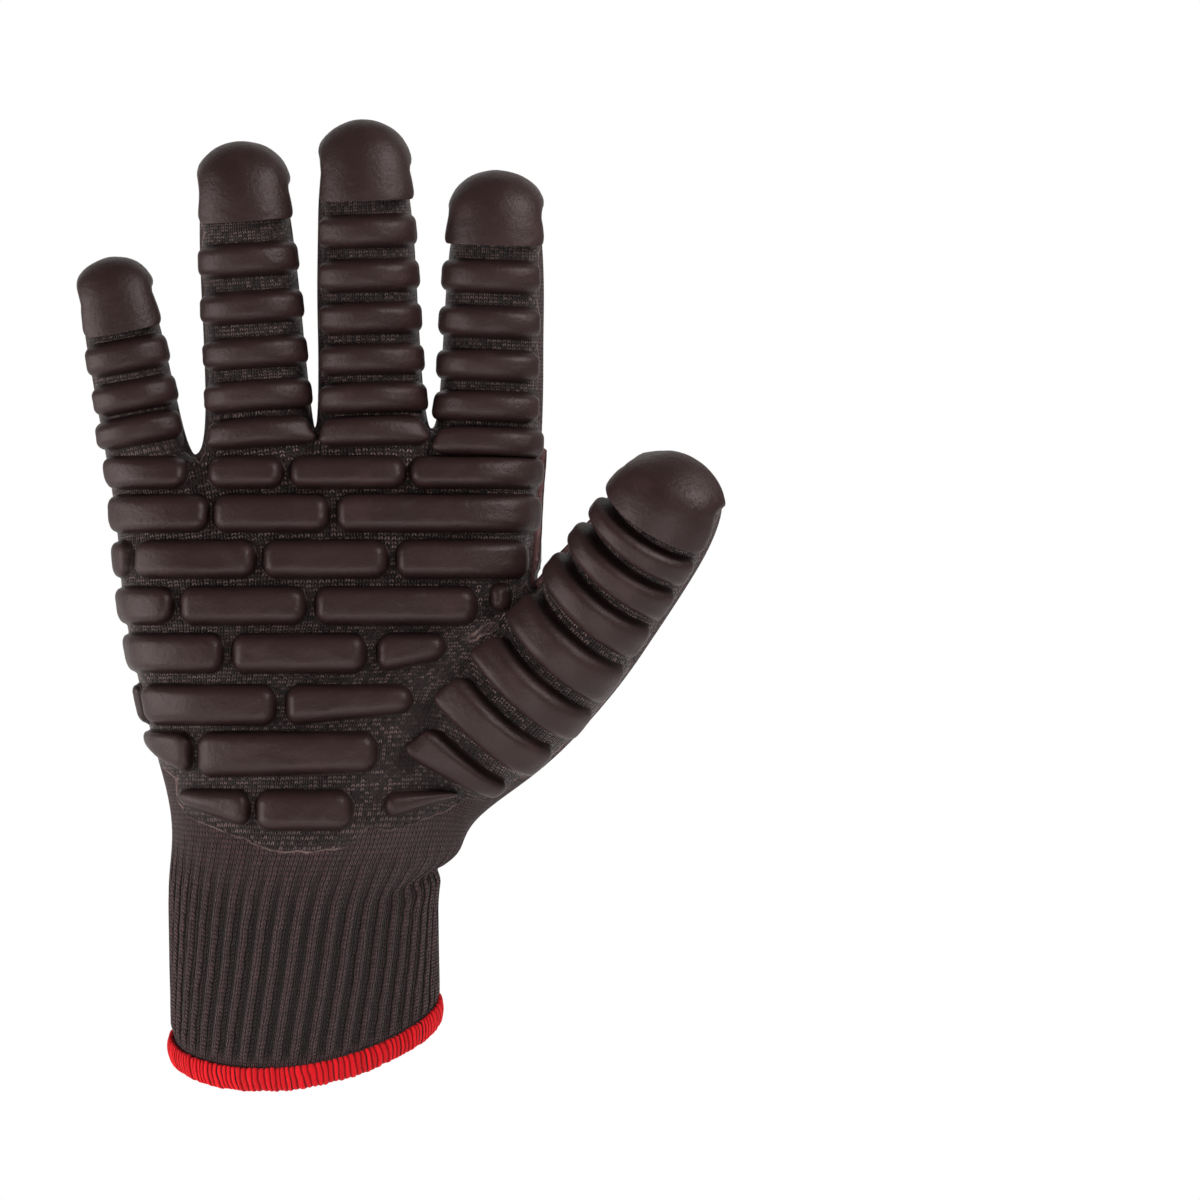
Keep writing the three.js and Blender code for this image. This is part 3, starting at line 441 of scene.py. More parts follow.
def crown_points(roots):
    """Twenty points round the feet of the fingers, and those in the three crotches between them."""
    top = [None] * 20
    crotches = []
    top[0] = roots[0][0]
    top[1] = roots[0][1]
    top[19] = roots[0][7]
    for i, root in enumerate(roots):
        top[2 + 2 * i] = root[2]
        top[18 - 2 * i] = root[6]
        if i:
            before = roots[i - 1]
            top[1 + 2 * i] = (before[3] + root[1]) / 2
            top[19 - 2 * i] = (before[5] + root[7]) / 2 - (0, 0, GROOVE_DROP * PALM_LENGTH)
            crotches.append((before[4] + root[0]) / 2)
    top[9] = roots[3][3]
    top[10] = roots[3][4]
    top[11] = roots[3][5]
    return [lean_point(p) for p in top], [lean_point(p) for p in crotches]


def kneaded_point(low, raised, k, share):
    """A point between the palm and the crown, with the grooves between the fingers eased out."""
    high = raised[k]
    if k % 2 == 1 and k not in (1, 9, 11, 19):
        level = (raised[k - 1] + raised[k + 1]) / 2
        high = mix(high, level, 1 - share * GROOVE_EASE)
    return mix(low, high, share)


def add_fingers(net, palm):
    spines = [finger_spine(finger) for finger in FINGERS]
    raised, crotches = crown_points([section_points(spine, *FINGER_SECTIONS[0]) for spine in spines])
    around = wales_of([*range(10), *range(14, 24)])
    base = SPLIT["up"] * PALM_LENGTH
    top = CROWN_UP * PALM_LENGTH
    below = palm
    low = base
    for share in (*PALM_STEPS, 1):
        points = raised
        if share < 1:
            points = [kneaded_point(net.points[palm[k]], raised, k, share) for k in range(20)]
        ring = net.add_ring(points)
        net.join(below, ring, around, (low, mix(base, top, share)))
        below = ring
        low = mix(base, top, share)
    crown = below
    saddles = net.add_ring(crotches)
    for i, spine in enumerate(spines):
        left = crown[0] if i == 0 else saddles[i - 1]
        right = crown[10] if i == 3 else saddles[i]
        front = [crown[k + 2 * i] for k in (1, 2, 3)]
        back = [crown[k - 2 * i] for k in (17, 18, 19)]
        wales = wales_of([*range(2 * i, 2 * i + 4), *range(20 - 2 * i, 24 - 2 * i)])
        add_tube(net, [left, *front, right, *back], spine, FINGER_SECTIONS, wales, top)


def hem_drop(angle):
    """How far the hem hangs below level: it dips at the front and the back, and rises towards the thumb."""
    return HEM_DIP * (math.sin(angle) ** 2 - 0.5) + HEM_TILT / 2 * math.cos(angle)


def cuff_ring(rise):
    wide, deep = CUFF_WIDTH / 2 / RING_SHRINK, CUFF_DEPTH / 2 / RING_SHRINK
    return [
        np.array((-wide * math.cos(a), -deep * math.sin(a), rise * CUFF_HEIGHT - hem_drop(a) * (1 - rise)))
        for a in ring_angles()
    ]


def spline_blend(points, place):
    """A uniform cubic spline through control points, read at a place counted from the second of them."""
    k = int(place)
    t = place - k
    weights = ((1 - t) ** 3, 3 * t**3 - 6 * t**2 + 4, -3 * t**3 + 3 * t**2 + 3 * t + 1, t**3)
    return sum(w / 6 * points[(k + i) % len(points)] for i, w in enumerate(weights))


def cuff_grid():
    """Points and levels of the cuff from its rim to the heel, which it meets in the same smooth surface."""
    rings = [cuff_ring(rise) for rise in CUFF_RISES] + [wrist_ring(), heel_ring(), ball_ring()]
    heights = [(rise - 1) * CUFF_HEIGHT for rise in CUFF_RISES] + [0, HEEL["up"] * PALM_LENGTH]
    below = [2 * a - b for a, b in zip(rings[0], rings[1])]
    control = np.array([below, *rings])
    rows = []
    levels = []
    for step in range((len(heights) - 1) * CUFF_ROWS_PER_RING):
        k, part = divmod(step, CUFF_ROWS_PER_RING)
        share = part / CUFF_ROWS_PER_RING
        ring = spline_blend(control, k + share)
        wrapped = np.roll(ring, 1, axis=0)
        level = mix(heights[k], heights[k + 1], share)
        twist = CUFF_TWIST * (1 - ease(-CUFF_HEIGHT * 1.4, heights[-1], level))
        columns = [(c * RING_COLUMNS / CUFF_COLUMNS - twist) % RING_COLUMNS for c in range(CUFF_COLUMNS)]
        rows.append([spline_blend(wrapped, column) for column in columns])
        levels.append(level)
    return np.array(rows), levels


def new_mesh(name, points, faces, stitches=None, **attributes):
    """A mesh with, where given, the wale and level at each corner and a number at each point."""
    mesh = bpy.data.meshes.new(name)
    mesh.from_pydata(points, [], faces)
    if stitches is not None:
        layer = mesh.uv_layers.new(name="stitches")
        layer.data.foreach_set("uv", np.array(stitches, np.float32).ravel())
    for key, values in attributes.items():
        mesh.attributes.new(key, "FLOAT", "POINT").data.foreach_set("value", values)
    return mesh


def read_all(items, key, width, kind=float):
    values = np.empty(len(items) * width, kind)
    items.foreach_get(key, values)
    return values


class Surface:
    """The smooth outside of the glove: points, faces, the wale and level at each corner, and normals."""

    def __init__(self, points, faces, stitches):
        self.points = points
        self.faces = faces
        self.stitches = stitches
        self.tree = BVHTree.FromPolygons(points.tolist(), faces)
        mesh = new_mesh("surface", points.tolist(), faces)
        self.normals = np.array([n.vector for n in mesh.vertex_normals])
        bpy.data.meshes.remove(mesh)


def divided(net):
    """The net after smooth subdivision: points, quads and the wale and level at each corner."""
    mesh = new_mesh("hand net", [tuple(p) for p in net.points], net.quads, net.stitches)
    piece = bpy.data.objects.new("hand net", mesh)
    bpy.context.scene.collection.objects.link(piece)
    fine = piece.modifiers.new("fine", "SUBSURF")
    fine.levels = HAND_LEVEL
    fine.uv_smooth = "NONE"
    evaluated = piece.evaluated_get(bpy.context.evaluated_depsgraph_get())
    result = evaluated.to_mesh()
    points = read_all(result.vertices, "co", 3)
    quads = read_all(result.loops, "vertex_index", 1, np.int32)
    stitches = read_all(result.uv_layers[0].data, "uv", 2)
    evaluated.to_mesh_clear()
    bpy.data.objects.remove(piece)
    bpy.data.meshes.remove(mesh)
    return points.reshape(-1, 3), quads.reshape(-1, 4), stitches.reshape(-1, 4, 2)


@lru_cache(maxsize=1)
def glove_surface():
    """The hand above the heel and the finer cuff below it, joined into one surface."""
    points, quads, stitches = divided(hand_net())
    heel = HEEL["up"] * PALM_LENGTH
    kept = stitches[:, :, 1].mean(axis=1) > heel
    quads, stitches = quads[kept], stitches[kept]
    used, quads = np.unique(quads, return_inverse=True)
    quads = quads.reshape(-1, 4)
    rows, levels = cuff_grid()
    cuff_points = rows.reshape(-1, 3)
    shift = len(cuff_points)
    hand_columns = CUFF_COLUMNS // 2
    wales = RING_COLUMNS * WALES_PER_COLUMN
    lowest = np.abs(stitches[:, :, 1] - heel) < 0.01 * MM
    ring = [0] * hand_columns
    for vertex, wale in zip(quads[lowest], stitches[lowest][:, 0]):
        ring[round(wale / wales * hand_columns) % hand_columns] = int(vertex) + shift
    faces = []
    corners = []
    step = wales / CUFF_COLUMNS
    for r in range(len(rows) - 1):
        for c in range(CUFF_COLUMNS):
            a, b = r * CUFF_COLUMNS + c, r * CUFF_COLUMNS + (c + 1) % CUFF_COLUMNS
            faces.append((a, b, b + CUFF_COLUMNS, a + CUFF_COLUMNS))
            left, right = c * step, (c + 1) * step
            corners += [(left, levels[r]), (right, levels[r]), (right, levels[r + 1]), (left, levels[r + 1])]
    last = (len(rows) - 1) * CUFF_COLUMNS
    for j in range(hand_columns):
        a, b, c = last + 2 * j, last + 2 * j + 1, last + (2 * j + 2) % CUFF_COLUMNS
        low_left, low_middle, low_right = [(step * (2 * j + k), levels[-1]) for k in range(3)]
        high_left, high_right = (low_left[0], heel), (low_right[0], heel)
        left, right = ring[j], ring[(j + 1) % hand_columns]
        faces += [(a, b, left), (b, right, left), (b, c, right)]
        corners += [low_left, low_middle, high_left, low_middle, high_right, high_left]
        corners += [low_middle, low_right, high_right]
    faces += [tuple(int(v) + shift for v in quad) for quad in quads]
    corners += [tuple(s) for quad in stitches for s in quad]
    return Surface(np.concatenate([cuff_points, points[used]]), faces, np.array(corners))


def length_setting(name, default, description):
    return FloatProperty(name=name, description=description, default=default, unit="LENGTH")


def number_setting(name, default, description):
    return FloatProperty(name=name, description=description, default=default)


def color_setting(name, default, description):
    return FloatVectorProperty(name=name, description=description, default=default, subtype="COLOR")


class KnitSettings(bpy.types.PropertyGroup):
    """Sizes and colours of the knit"""

    wall: length_setting("Wall", 2 * MM, "Thickness of the knit")
    rib_count: IntProperty(name="Ribs", description="Ribs round the cuff", default=48)
    rib_height: length_setting("Rib height", 0.9 * MM, "How far the ribs stand out")
    course: length_setting("Course", 0.98 * MM, "Height of one row of stitches")
    film_margin: length_setting("Film margin", 2.4 * MM, "How far the rubber film reaches past the pads")
    yarn_color: color_setting("Yarn", (0.033, 0.0165, 0.0185), "Colour of the yarn")
    film_color: color_setting("Film", (0.018, 0.0102, 0.0104), "Colour of the rubber film on the knit")
    # The colour of the painted glints on stitches that stand out of the film, which also paints the film's
    # pale edge
    glint_and_edge_color: color_setting("Painted glint and edge", (0.2, 0.142, 0.134), "Colour of a stitch that stands up")


class PadSettings(bpy.types.PropertyGroup):
    """Sizes and colour of the rubber pads"""

    bar_height: length_setting("Bar height", 8.7 * MM, "Height of a bar along its finger")
    bar_thickness: length_setting("Bar thickness", 4.4 * MM, "Thickness of a bar at its front")
    palm_thickness: length_setting("Palm pad thickness", 4.6 * MM, "Thickness of a palm pad")
    cap_thickness: length_setting("Tip pad thickness", 3.2 * MM, "Thickness of a fingertip's pad")
    sheet_thickness: length_setting("Sheet thickness", 1.6 * MM, "Thickness of the sheet in the crook")
    lift: length_setting("Lift", 0.3 * MM, "How far the pads' tops are raised with the film under them")
    sink: length_setting("Sink", 0.6 * MM, "How deep the pads are bonded into the knit")
    corner: length_setting("Corner", 3.7 * MM, "Radius of a palm pad's corners")
    bar_corner: length_setting("Bar corner", 2.8 * MM, "Radius of a bar's corners")
    flange: length_setting("Flange", 0.35 * MM, "Width of the thin rim round a pad")
    rubber_color: color_setting("Rubber", (0.0225, 0.0112, 0.0112), "Colour of the rubber")


class HemSettings(bpy.types.PropertyGroup):
    """Sizes and colour of the overlocked hem"""

    height: length_setting("Height", 5 * MM, "Height of the hem")
    thickness: length_setting("Thickness", 1 * MM, "Thickness of the wrapped yarn")
    loops: IntProperty(name="Loops", description="Stitches round the hem", default=150)
    loop_depth: length_setting("Loop depth", 0.5 * MM, "How far a stitch stands out")
    yarn_color: color_setting("Yarn", (0.78, 0.011, 0.019), "Colour of the hem's yarn")


class StageSettings(bpy.types.PropertyGroup):
    """Floor, lights and camera"""

    floor_drop: length_setting("Floor drop", 60 * MM, "How far the floor lies under the glove")
    floor_color: color_setting("Floor", (0.9, 0.9, 0.9), "Colour of the floor")
    floor_glow: number_setting("Floor glow", 0.42, "Light that comes from the floor")
    sky: number_setting("Sky", 0.18, "Strength of the even light all round")
    key_power: number_setting("Key", 9.5, "Watts of the light at the left")
    side_power: number_setting("Side", 1.8, "Watts of the light at the right")
    fill_power: number_setting("Fill", 2.4, "Watts of the soft light in front")
    light_color: color_setting("Light", (1.0, 0.88, 0.86), "Colour of the lights")
    lens: number_setting("Lens", 108, "Focal length in millimetres")
    distance: length_setting("Distance", 0.9, "Camera's distance")
    elevation: FloatProperty(
        name="Elevation", description="Camera's angle above the horizon", default=math.radians(12),
        subtype="ANGLE",
    )


class Wiring:
    """Adds nodes to a tree and links them; values that aren't sockets are set on the inputs."""

    def __init__(self, tree):
        self.tree = tree
        self.place = None

    def node(self, kind, inputs=None, **settings):
        node = self.tree.nodes.new(kind)
        for key, value in settings.items():
            setattr(node, key, value)
        for key, value in (inputs or {}).items():
            self.feed(node.inputs[key], value)
        return node

    def feed(self, socket, value):
        if isinstance(value, bpy.types.NodeSocket):
            self.tree.links.new(value, socket)
        else:
            socket.default_value = value

    def math(self, operation, *values):
        return self.node("ShaderNodeMath", dict(enumerate(values)), operation=operation).outputs[0]

    def times(self, first, second):
        return self.math("MULTIPLY", first, second)

    def scaled(self, value, factor, offset):
        return self.math("MULTIPLY_ADD", value, factor, offset)

    def flipped(self, value):
        return self.math("SUBTRACT", 1.0, value)

    def from_middle(self, value):
        """0 halfway between whole numbers, 0.5 at them."""
        return self.math("ABSOLUTE", self.math("SUBTRACT", self.math("FRACT", value), 0.5))

    def step(self, value, low, high):
        """0 below low, 1 above high, smooth in between."""
        inputs = {"Value": value, "From Min": low, "From Max": high}
        return self.node("ShaderNodeMapRange", inputs, interpolation_type="SMOOTHSTEP").outputs["Result"]

    def blend(self, factor, first, second):
        node = self.node("ShaderNodeMix", data_type="RGBA")
        self.feed(node.inputs["Factor"], factor)
        self.feed(node.inputs[6], first)
        self.feed(node.inputs[7], second)
        return node.outputs[2]

    def shades(self, factor, rgb, dark, light):
        """From a dark to a light shade of one colour."""
        return self.blend(factor, color(rgb, dark), color(rgb, light))

    def attribute(self, name):
        return self.node("ShaderNodeAttribute", attribute_name=name).outputs["Fac"]

    def stitch_place(self):
        """The number of the wale, or of the hem's loop, and the level."""
        stitches = self.node("ShaderNodeUVMap", uv_map="stitches").outputs[0]
        return self.node("ShaderNodeSeparateXYZ", {0: stitches}).outputs[:2]

    def chance(self, *numbers):
        """A number from 0 to 1 for each stitch that these count."""
        whole = {k: self.math("FLOOR", number) for k, number in enumerate(numbers)}
        place = self.node("ShaderNodeCombineXYZ", whole).outputs[0]
        return self.node("ShaderNodeTexWhiteNoise", {"Vector": place}).outputs["Value"]

    def spot(self):
        """The place on the piece, in metres."""
        if self.place is None:
            self.place = self.node("ShaderNodeTexCoord").outputs["Object"]
        return self.place

    def noise(self, scale, detail=2.0, vector=None):
        """Noise with this many bumps a metre."""
        inputs = {"Scale": scale, "Detail": detail, "Vector": vector or self.spot()}
        return self.node("ShaderNodeTexNoise", inputs).outputs["Fac"]

    def bump(self, height, distance, strength=1.0):
        inputs = {"Height": height, "Distance": distance, "Strength": strength}
        return self.node("ShaderNodeBump", inputs).outputs["Normal"]


def new_group(name, inputs, outputs):
    tree = bpy.data.node_groups.new(name, "ShaderNodeTree")
    for label, default in inputs.items():
        socket = tree.interface.new_socket(label, in_out="INPUT", socket_type="NodeSocketFloat")
        socket.default_value = default
    for label in outputs:
        tree.interface.new_socket(label, in_out="OUTPUT", socket_type="NodeSocketFloat")
    return tree, Wiring(tree), tree.nodes.new("NodeGroupInput"), tree.nodes.new("NodeGroupOutput")


@lru_cache(maxsize=1)
def stitch_group():
    """V-shaped knit stitches from a wale number and a course number."""
    tree, w, given, out = new_group(
        "Knit stitches", {"Wale": 0.0, "Course": 0.0, "Slant": 0.7}, ("Height", "Tone")
    )
    wale, course, slant = given.outputs[:3]
    beside = w.times(w.from_middle(wale), 2.0)
    raised = w.scaled(beside, slant, course)
    along = w.times(w.from_middle(raised), 2.0)
    off_leg = w.math("ABSOLUTE", w.math("SUBTRACT", beside, 0.42))
    across = w.math("MINIMUM", w.times(off_leg, 2.3), 1.0)
    round_along, round_across = [w.flipped(w.math("POWER", share, 2.2)) for share in (along, across)]
    height = w.math("SQRT", w.math("MAXIMUM", w.times(round_along, round_across), 0.0))
    w.feed(out.inputs["Height"], height)
    w.feed(out.inputs["Tone"], w.chance(wale, raised))
    return tree


@lru_cache(maxsize=1)
def grain_group():
    """Fine grain, small dents and mottling, for rubber and for the film."""
    tree, w, given, out = new_group("Rubber grain", {"Scale": 1.0}, ("Height", "Dents", "Mottle"))
    inputs = {0: w.spot(), "Scale": given.outputs["Scale"]}
    spot = w.node("ShaderNodeVectorMath", inputs, operation="SCALE").outputs[0]
    cells = w.node("ShaderNodeTexVoronoi", {"Vector": spot, "Scale": 620.0}).outputs["Distance"]
    height = w.scaled(w.noise(900.0, 3.0, spot), 0.8, w.times(w.noise(4200.0, 3.0, spot), 0.35))
    w.feed(out.inputs["Height"], height)
    w.feed(out.inputs["Dents"], w.step(cells, 0.22, 0.05))
    w.feed(out.inputs["Mottle"], w.noise(70.0, 4.0, spot))
    return tree


def new_material(name, roughness, specular=0.5, sheen=0.0, sheen_roughness=0.5):
    material = bpy.data.materials.new(name)
    material.use_nodes = True
    shader = material.node_tree.nodes["Principled BSDF"]
    shader.inputs["Roughness"].default_value = roughness
    shader.inputs["Specular IOR Level"].default_value = specular
    shader.inputs["Sheen Weight"].default_value = sheen
    shader.inputs["Sheen Roughness"].default_value = sheen_roughness
    return material, Wiring(material.node_tree), shader


def color(rgb, factor=1.0):
    return (rgb[0] * factor, rgb[1] * factor, rgb[2] * factor, 1.0)


@lru_cache(maxsize=1)
def knit_material():
    """Stitched yarn, under a thin film of rubber where the film attribute is above 0."""
    knit = bpy.context.scene.glove_knit
    material, w, shader = new_material("Black knit", 0.8, 0.2, 0.12, 0.5)
    wale, level = w.stitch_place()
    wobble = w.scaled(w.noise(260.0), 0.6, -0.3)
    yarn = w.node("ShaderNodeGroup", node_tree=stitch_group())
    w.feed(yarn.inputs["Wale"], w.math("ADD", wale, wobble))
    w.feed(yarn.inputs["Course"], w.scaled(level, 1 / knit.course, wobble))
    height, stitch_tone = yarn.outputs["Height"], yarn.outputs["Tone"]
    mottle = w.node("ShaderNodeGroup", node_tree=grain_group()).outputs["Mottle"]
    fibre = w.noise(2600.0, 3.0)

    # The yarn: painted shade makes it near black between the stitches and darker in the grooves between the
    # ribs, and the stitches' crests take a tone that differs at random from stitch to stitch, up to a
    # painted highlight
    tone = w.scaled(stitch_tone, 0.45, w.times(fibre, 0.8))
    thread = w.shades(tone, knit.yarn_color, 0.55, 4.0)
    bare = w.blend(w.step(height, 0.4, 0.92), color(knit.yarn_color, 0.05), thread)
    bare = w.blend(w.times(w.attribute("groove"), 0.85), bare, color(knit.yarn_color, 0.12))

    # The film, with painted glints on the stitches that stand out of it, and pale in places along its ragged
    # edge
    film = w.attribute("film")
    ragged = w.math("ADD", film, w.scaled(w.noise(420.0, 3.0), 1.2, -0.6))
    coated = w.step(ragged, -0.15, 0.15)
    lip = w.flipped(w.step(w.math("ABSOLUTE", ragged), 0.08, 0.35))
    thick = w.step(film, 3.2, 6.5)
    painted_glint = w.times(w.step(height, 0.7, 0.98), w.step(stitch_tone, 0.15, 1.0))
    painted_glint = w.times(painted_glint, w.scaled(thick, -0.93, 1.0))
    skin = w.blend(painted_glint, w.shades(mottle, knit.film_color, 0.35, 0.9), color(knit.glint_and_edge_color))
    pale = w.times(lip, w.step(w.noise(150.0), 0.35, 0.65))
    surface = w.blend(pale, w.blend(coated, bare, skin), color(knit.glint_and_edge_color, 1.3))
    w.feed(shader.inputs["Base Color"], surface)
    w.feed(shader.inputs["Roughness"], w.scaled(coated, -0.46, 0.8))
    flat = w.scaled(thick, -0.45, w.scaled(coated, -0.25, 1.0))
    relief = w.scaled(fibre, 0.25, w.times(height, flat))
    w.feed(shader.inputs["Normal"], w.bump(w.scaled(lip, 0.9, relief), 0.85 * MM))
    return material


@lru_cache(maxsize=1)
def sheet_material():
    """The same rubber rolled out thin: wrinkled like leather, and pale along its torn edge."""
    rubber = bpy.context.scene.glove_pads.rubber_color
    material, w, shader = new_material("Thin creased rubber", 0.5, 0.3)
    grain = w.node("ShaderNodeGroup", node_tree=grain_group()).outputs
    torn = w.flipped(w.step(w.math("ADD", w.attribute("inset"), w.noise(900.0)), 0.7, 1.3))
    cells = w.node("ShaderNodeTexVoronoi", {"Vector": w.spot(), "Scale": 1100.0}, feature="DISTANCE_TO_EDGE")
    wrinkles = w.step(cells.outputs["Distance"], 0.0, 0.25)
    patches = w.step(w.noise(60.0, 3.0), 0.4, 0.65)
    body = w.shades(grain["Mottle"], rubber, 0.6, 1.4)
    w.feed(shader.inputs["Base Color"], w.blend(w.times(torn, 0.8), body, color(rubber, 6.0)))
    w.feed(shader.inputs["Roughness"], w.scaled(grain["Mottle"], 0.2, 0.36))
    relief = w.times(wrinkles, w.scaled(patches, 0.7, 0.3))
    w.feed(shader.inputs["Normal"], w.bump(w.scaled(grain["Height"], 0.8, relief), 0.12 * MM))
    return material


@lru_cache(maxsize=1)
def rubber_material():
    """Foam rubber: mottled and dented, with painted shade at the foot of a pad, and a little scuffed."""
    rubber = bpy.context.scene.glove_pads.rubber_color
    material, w, shader = new_material("Black foam rubber", 0.45, 0.3)
    grain = w.node("ShaderNodeGroup", node_tree=grain_group()).outputs
    # Painted shade: the rubber is darker near the foot of a pad, where it meets the knit
    foot = w.step(w.attribute("inset"), 1.2, 0.3)
    scuffs = w.step(w.noise(90.0, 5.0), 0.56, 0.7)
    body = w.shades(grain["Mottle"], rubber, 0.75, 1.3)
    body = w.blend(w.times(foot, 0.6), body, color(rubber, 0.35))
    w.feed(shader.inputs["Base Color"], w.blend(w.times(scuffs, 0.25), body, color(rubber, 2.2)))
    w.feed(shader.inputs["Roughness"], w.scaled(scuffs, 0.06, w.scaled(grain["Mottle"], 0.14, 0.38)))
    relief = w.scaled(grain["Dents"], -0.25, grain["Height"])
    w.feed(shader.inputs["Normal"], w.bump(relief, 0.2 * MM, 0.8))
    return material


# What shows through an open gap between two loops of the hem: the black knit, darkened further as painted
# shade
GAP_COLOR = (0.012, 0.009, 0.009)


@lru_cache(maxsize=1)
def yarn_material():
    """Red yarn with painted shade between the loops, and a few open gaps."""
    yarn = bpy.context.scene.glove_hem.yarn_color
    material, w, shader = new_material("Red overlock yarn", 0.8, 0.1, 0.05, 0.5)
    loop = w.stitch_place()[0]
    beside = w.from_middle(loop)
    chance = w.chance(loop)
    # Painted shade: the yarn is darkened between the loops
    gap = w.step(beside, 0.26, 0.47)
    open_gap = w.times(w.step(beside, 0.34, 0.44), w.step(chance, 0.62, 0.85))
    inputs = {"Vector": w.spot(), "Scale": 900.0, "Distortion": 3.0, "Detail": 2.0}
    twist = w.node("ShaderNodeTexWave", inputs).outputs["Fac"]
    tone = w.scaled(twist, 0.35, w.times(chance, 0.5))
    thread = w.blend(w.times(gap, 0.8), w.shades(tone, yarn, 0.6, 1.1), color(yarn, 0.22))
    w.feed(shader.inputs["Base Color"], w.blend(open_gap, thread, color(GAP_COLOR)))
    relief = w.scaled(gap, -1.0, w.times(w.noise(2200.0, 3.0), 0.5))
    w.feed(shader.inputs["Normal"], w.bump(relief, 0.2 * MM))
    return material


def place_piece(name, mesh, material, slot, *nodes):
    piece = bpy.data.objects.new(name, mesh)
    bpy.context.scene.collection.objects.link(piece)
    mesh.polygons.foreach_set("use_smooth", [True] * len(mesh.polygons))
    mesh.materials.append(material)
    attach(piece, "root")
    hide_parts(*nodes)
    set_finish(piece, slot)
    return piece


# The grid of a pad: how far from its edge it is finer, in how many steps, and the most of its length and
# height that its ends and corners may take up
EDGE_REACH = 3.0 * MM
EDGE_STEPS = 8
END_SHARE = 0.45

# The relief of a pad: the height of its thin rim, the width and roundness of the rise, and its unevenness
# as bumps in a metre and their share of the height
PAD_RIM = 0.2 * MM
PAD_SPREAD = 3.0 * MM
PAD_ROUNDNESS = 2.4
PAD_WAVES = ((130, 0.07), (420, 0.04))
PAD_WAVER = 0.12 * MM

# How steeply a bar thins towards its ends, and how much thinner a palm pad is where it turns round the
# palm's edge
BAR_THINNING = 2.6
PALM_THINNING = 0.55


def edge_steps(length, spacing, reach=EDGE_REACH):
    """Places from 0 to 1 along a length, close together within reach of either end."""
    reach = min(reach, length * END_SHARE)
    near = [reach * (k / EDGE_STEPS) ** 1.5 for k in range(EDGE_STEPS + 1)]
    count = max(math.ceil((length - 2 * reach) / spacing), 1)
    middle = [mix(reach, length - reach, k / count) for k in range(1, count)]
    return [x / length for x in [*near, *middle, *(length - x for x in reversed(near))]]


def corner_inset(x, y, half_length, half_height, corner):
    """How far a place lies inside a rectangle with round corners."""
    qx = abs(x) - (half_length - corner)
    qy = abs(y) - (half_height - corner)
    return corner - math.hypot(max(qx, 0), max(qy, 0)) - min(max(qx, qy), 0)


def pillow(inset, thickness, spread, flange):
    """Height of a moulded pad at a distance in from its edge: a thin rim, then a rounded rise."""
    rim = min(PAD_RIM, thickness / 3)
    if inset < flange:
        return rim * max(inset, 0) / flange
    share = min((inset - flange) / spread, 1)
    return rim + (thickness - rim) * math.sqrt(1 - (1 - share) ** PAD_ROUNDNESS)


def lay_pad(name, columns, rows, ray, rise, material=None):
    """A closed pad over a grid of rays out of the hand. rise gives its height and distance to its edge."""
    pads = bpy.context.scene.glove_pads
    tree = glove_surface().tree
    top, bottom, insets = [], [], []
    for column in columns:
        for row in rows:
            origin, direction = ray(column, row)
            start, way = Vector(lean_point(origin)), Vector(lean_direction(direction))
            distance = tree.ray_cast(start, way)[3]
            if distance is None:
                raise RuntimeError(f"a ray of {name} misses the glove")
            height, inset = rise(column, row)
            spot = start + way * distance
            height *= 1 + sum(share * noise.noise(spot * scale) for scale, share in PAD_WAVES)
            top.append(spot + way * (pads.lift + height))
            bottom.append(spot - way * pads.sink)
            insets.append(inset / MM)
    n, m = len(columns), len(rows)
    faces = []
    for i in range(n - 1):
        for j in range(m - 1):
            a, b = i * m + j, (i + 1) * m + j
            faces.append((a, b, b + 1, a + 1))
            faces.append((a + n * m + 1, b + n * m + 1, b + n * m, a + n * m))
    edge = [i * m for i in range(n)]
    edge += [(n - 1) * m + j for j in range(1, m)]
    edge += [i * m + m - 1 for i in range(n - 2, -1, -1)]
    edge += [j for j in range(m - 2, 0, -1)]
    for a, b in zip(edge, edge[1:] + edge[:1]):
        faces.append((b, a, a + n * m, b + n * m))
    mesh = new_mesh(name, top + bottom, faces, inset=insets + [0.0] * (n * m))
    piece = place_piece("pad_" + name, mesh, material or rubber_material(), "pad_rubber", name)
    return piece


def shaped_pad(name, length, height, cuts, ray, thickness, round_corner):
    """A pad with round corners whose lower edge may be cut away at either end. ray takes a place along it
    from 0 to 1 and a distance up from its middle, thickness a place along it."""
    pads = bpy.context.scene.glove_pads
    corner = min(round_corner, height * END_SHARE, length * END_SHARE)

    def footprint(column, row):
        x = (column - 0.5) * length
        cut = mix(cuts[0], cuts[1], column) * height
        half = (height - cut) / 2
        past = max(abs(x) - (length / 2 - corner), 0)
        narrow = corner - math.sqrt(max(corner**2 - past**2, 0))
        narrow = min(narrow, half * 0.8)
        y = (row * 2 - 1) * (half - narrow)
        return x, y, half, cut / 2

    def wobbled(column, row):
        _, y, _, shift = footprint(column, row)
        wave = noise.noise(Vector((column * length * 180, row * 3, len(name)))) * PAD_WAVER
        return ray(column, y + shift + wave)

    def rise(column, row):
        x, y, half, _ = footprint(column, row)
        inset = corner_inset(x, y, length / 2, half, min(corner, half))
        return pillow(inset, thickness(column), min(PAD_SPREAD, half - pads.flange), pads.flange), inset

    return lay_pad(name, edge_steps(length, 1.3 * MM), edge_steps(height, 1.0 * MM), wobbled, rise)


def lay_bar(name, spine, along, around, height, cut_right=0):
    """A bar round a finger or the thumb, thick over the front and thin towards the sides."""
    pads = bpy.context.scene.glove_pads
    start, end = around
    length = math.radians(end - start) * (spine.width / 2 + pads.bar_thickness / 2)

    def ray(column, up):
        centre, _, front, right = spine.frame(along + up / spine.length)
        return centre, turned(front, right, mix(start, end, column))

    def thickness(column):
        side = abs(mix(start, end, column)) / 90
        return pads.bar_thickness * (1 - side**BAR_THINNING)

    return shaped_pad(name, length, height, (0, cut_right), ray, thickness, pads.bar_corner)


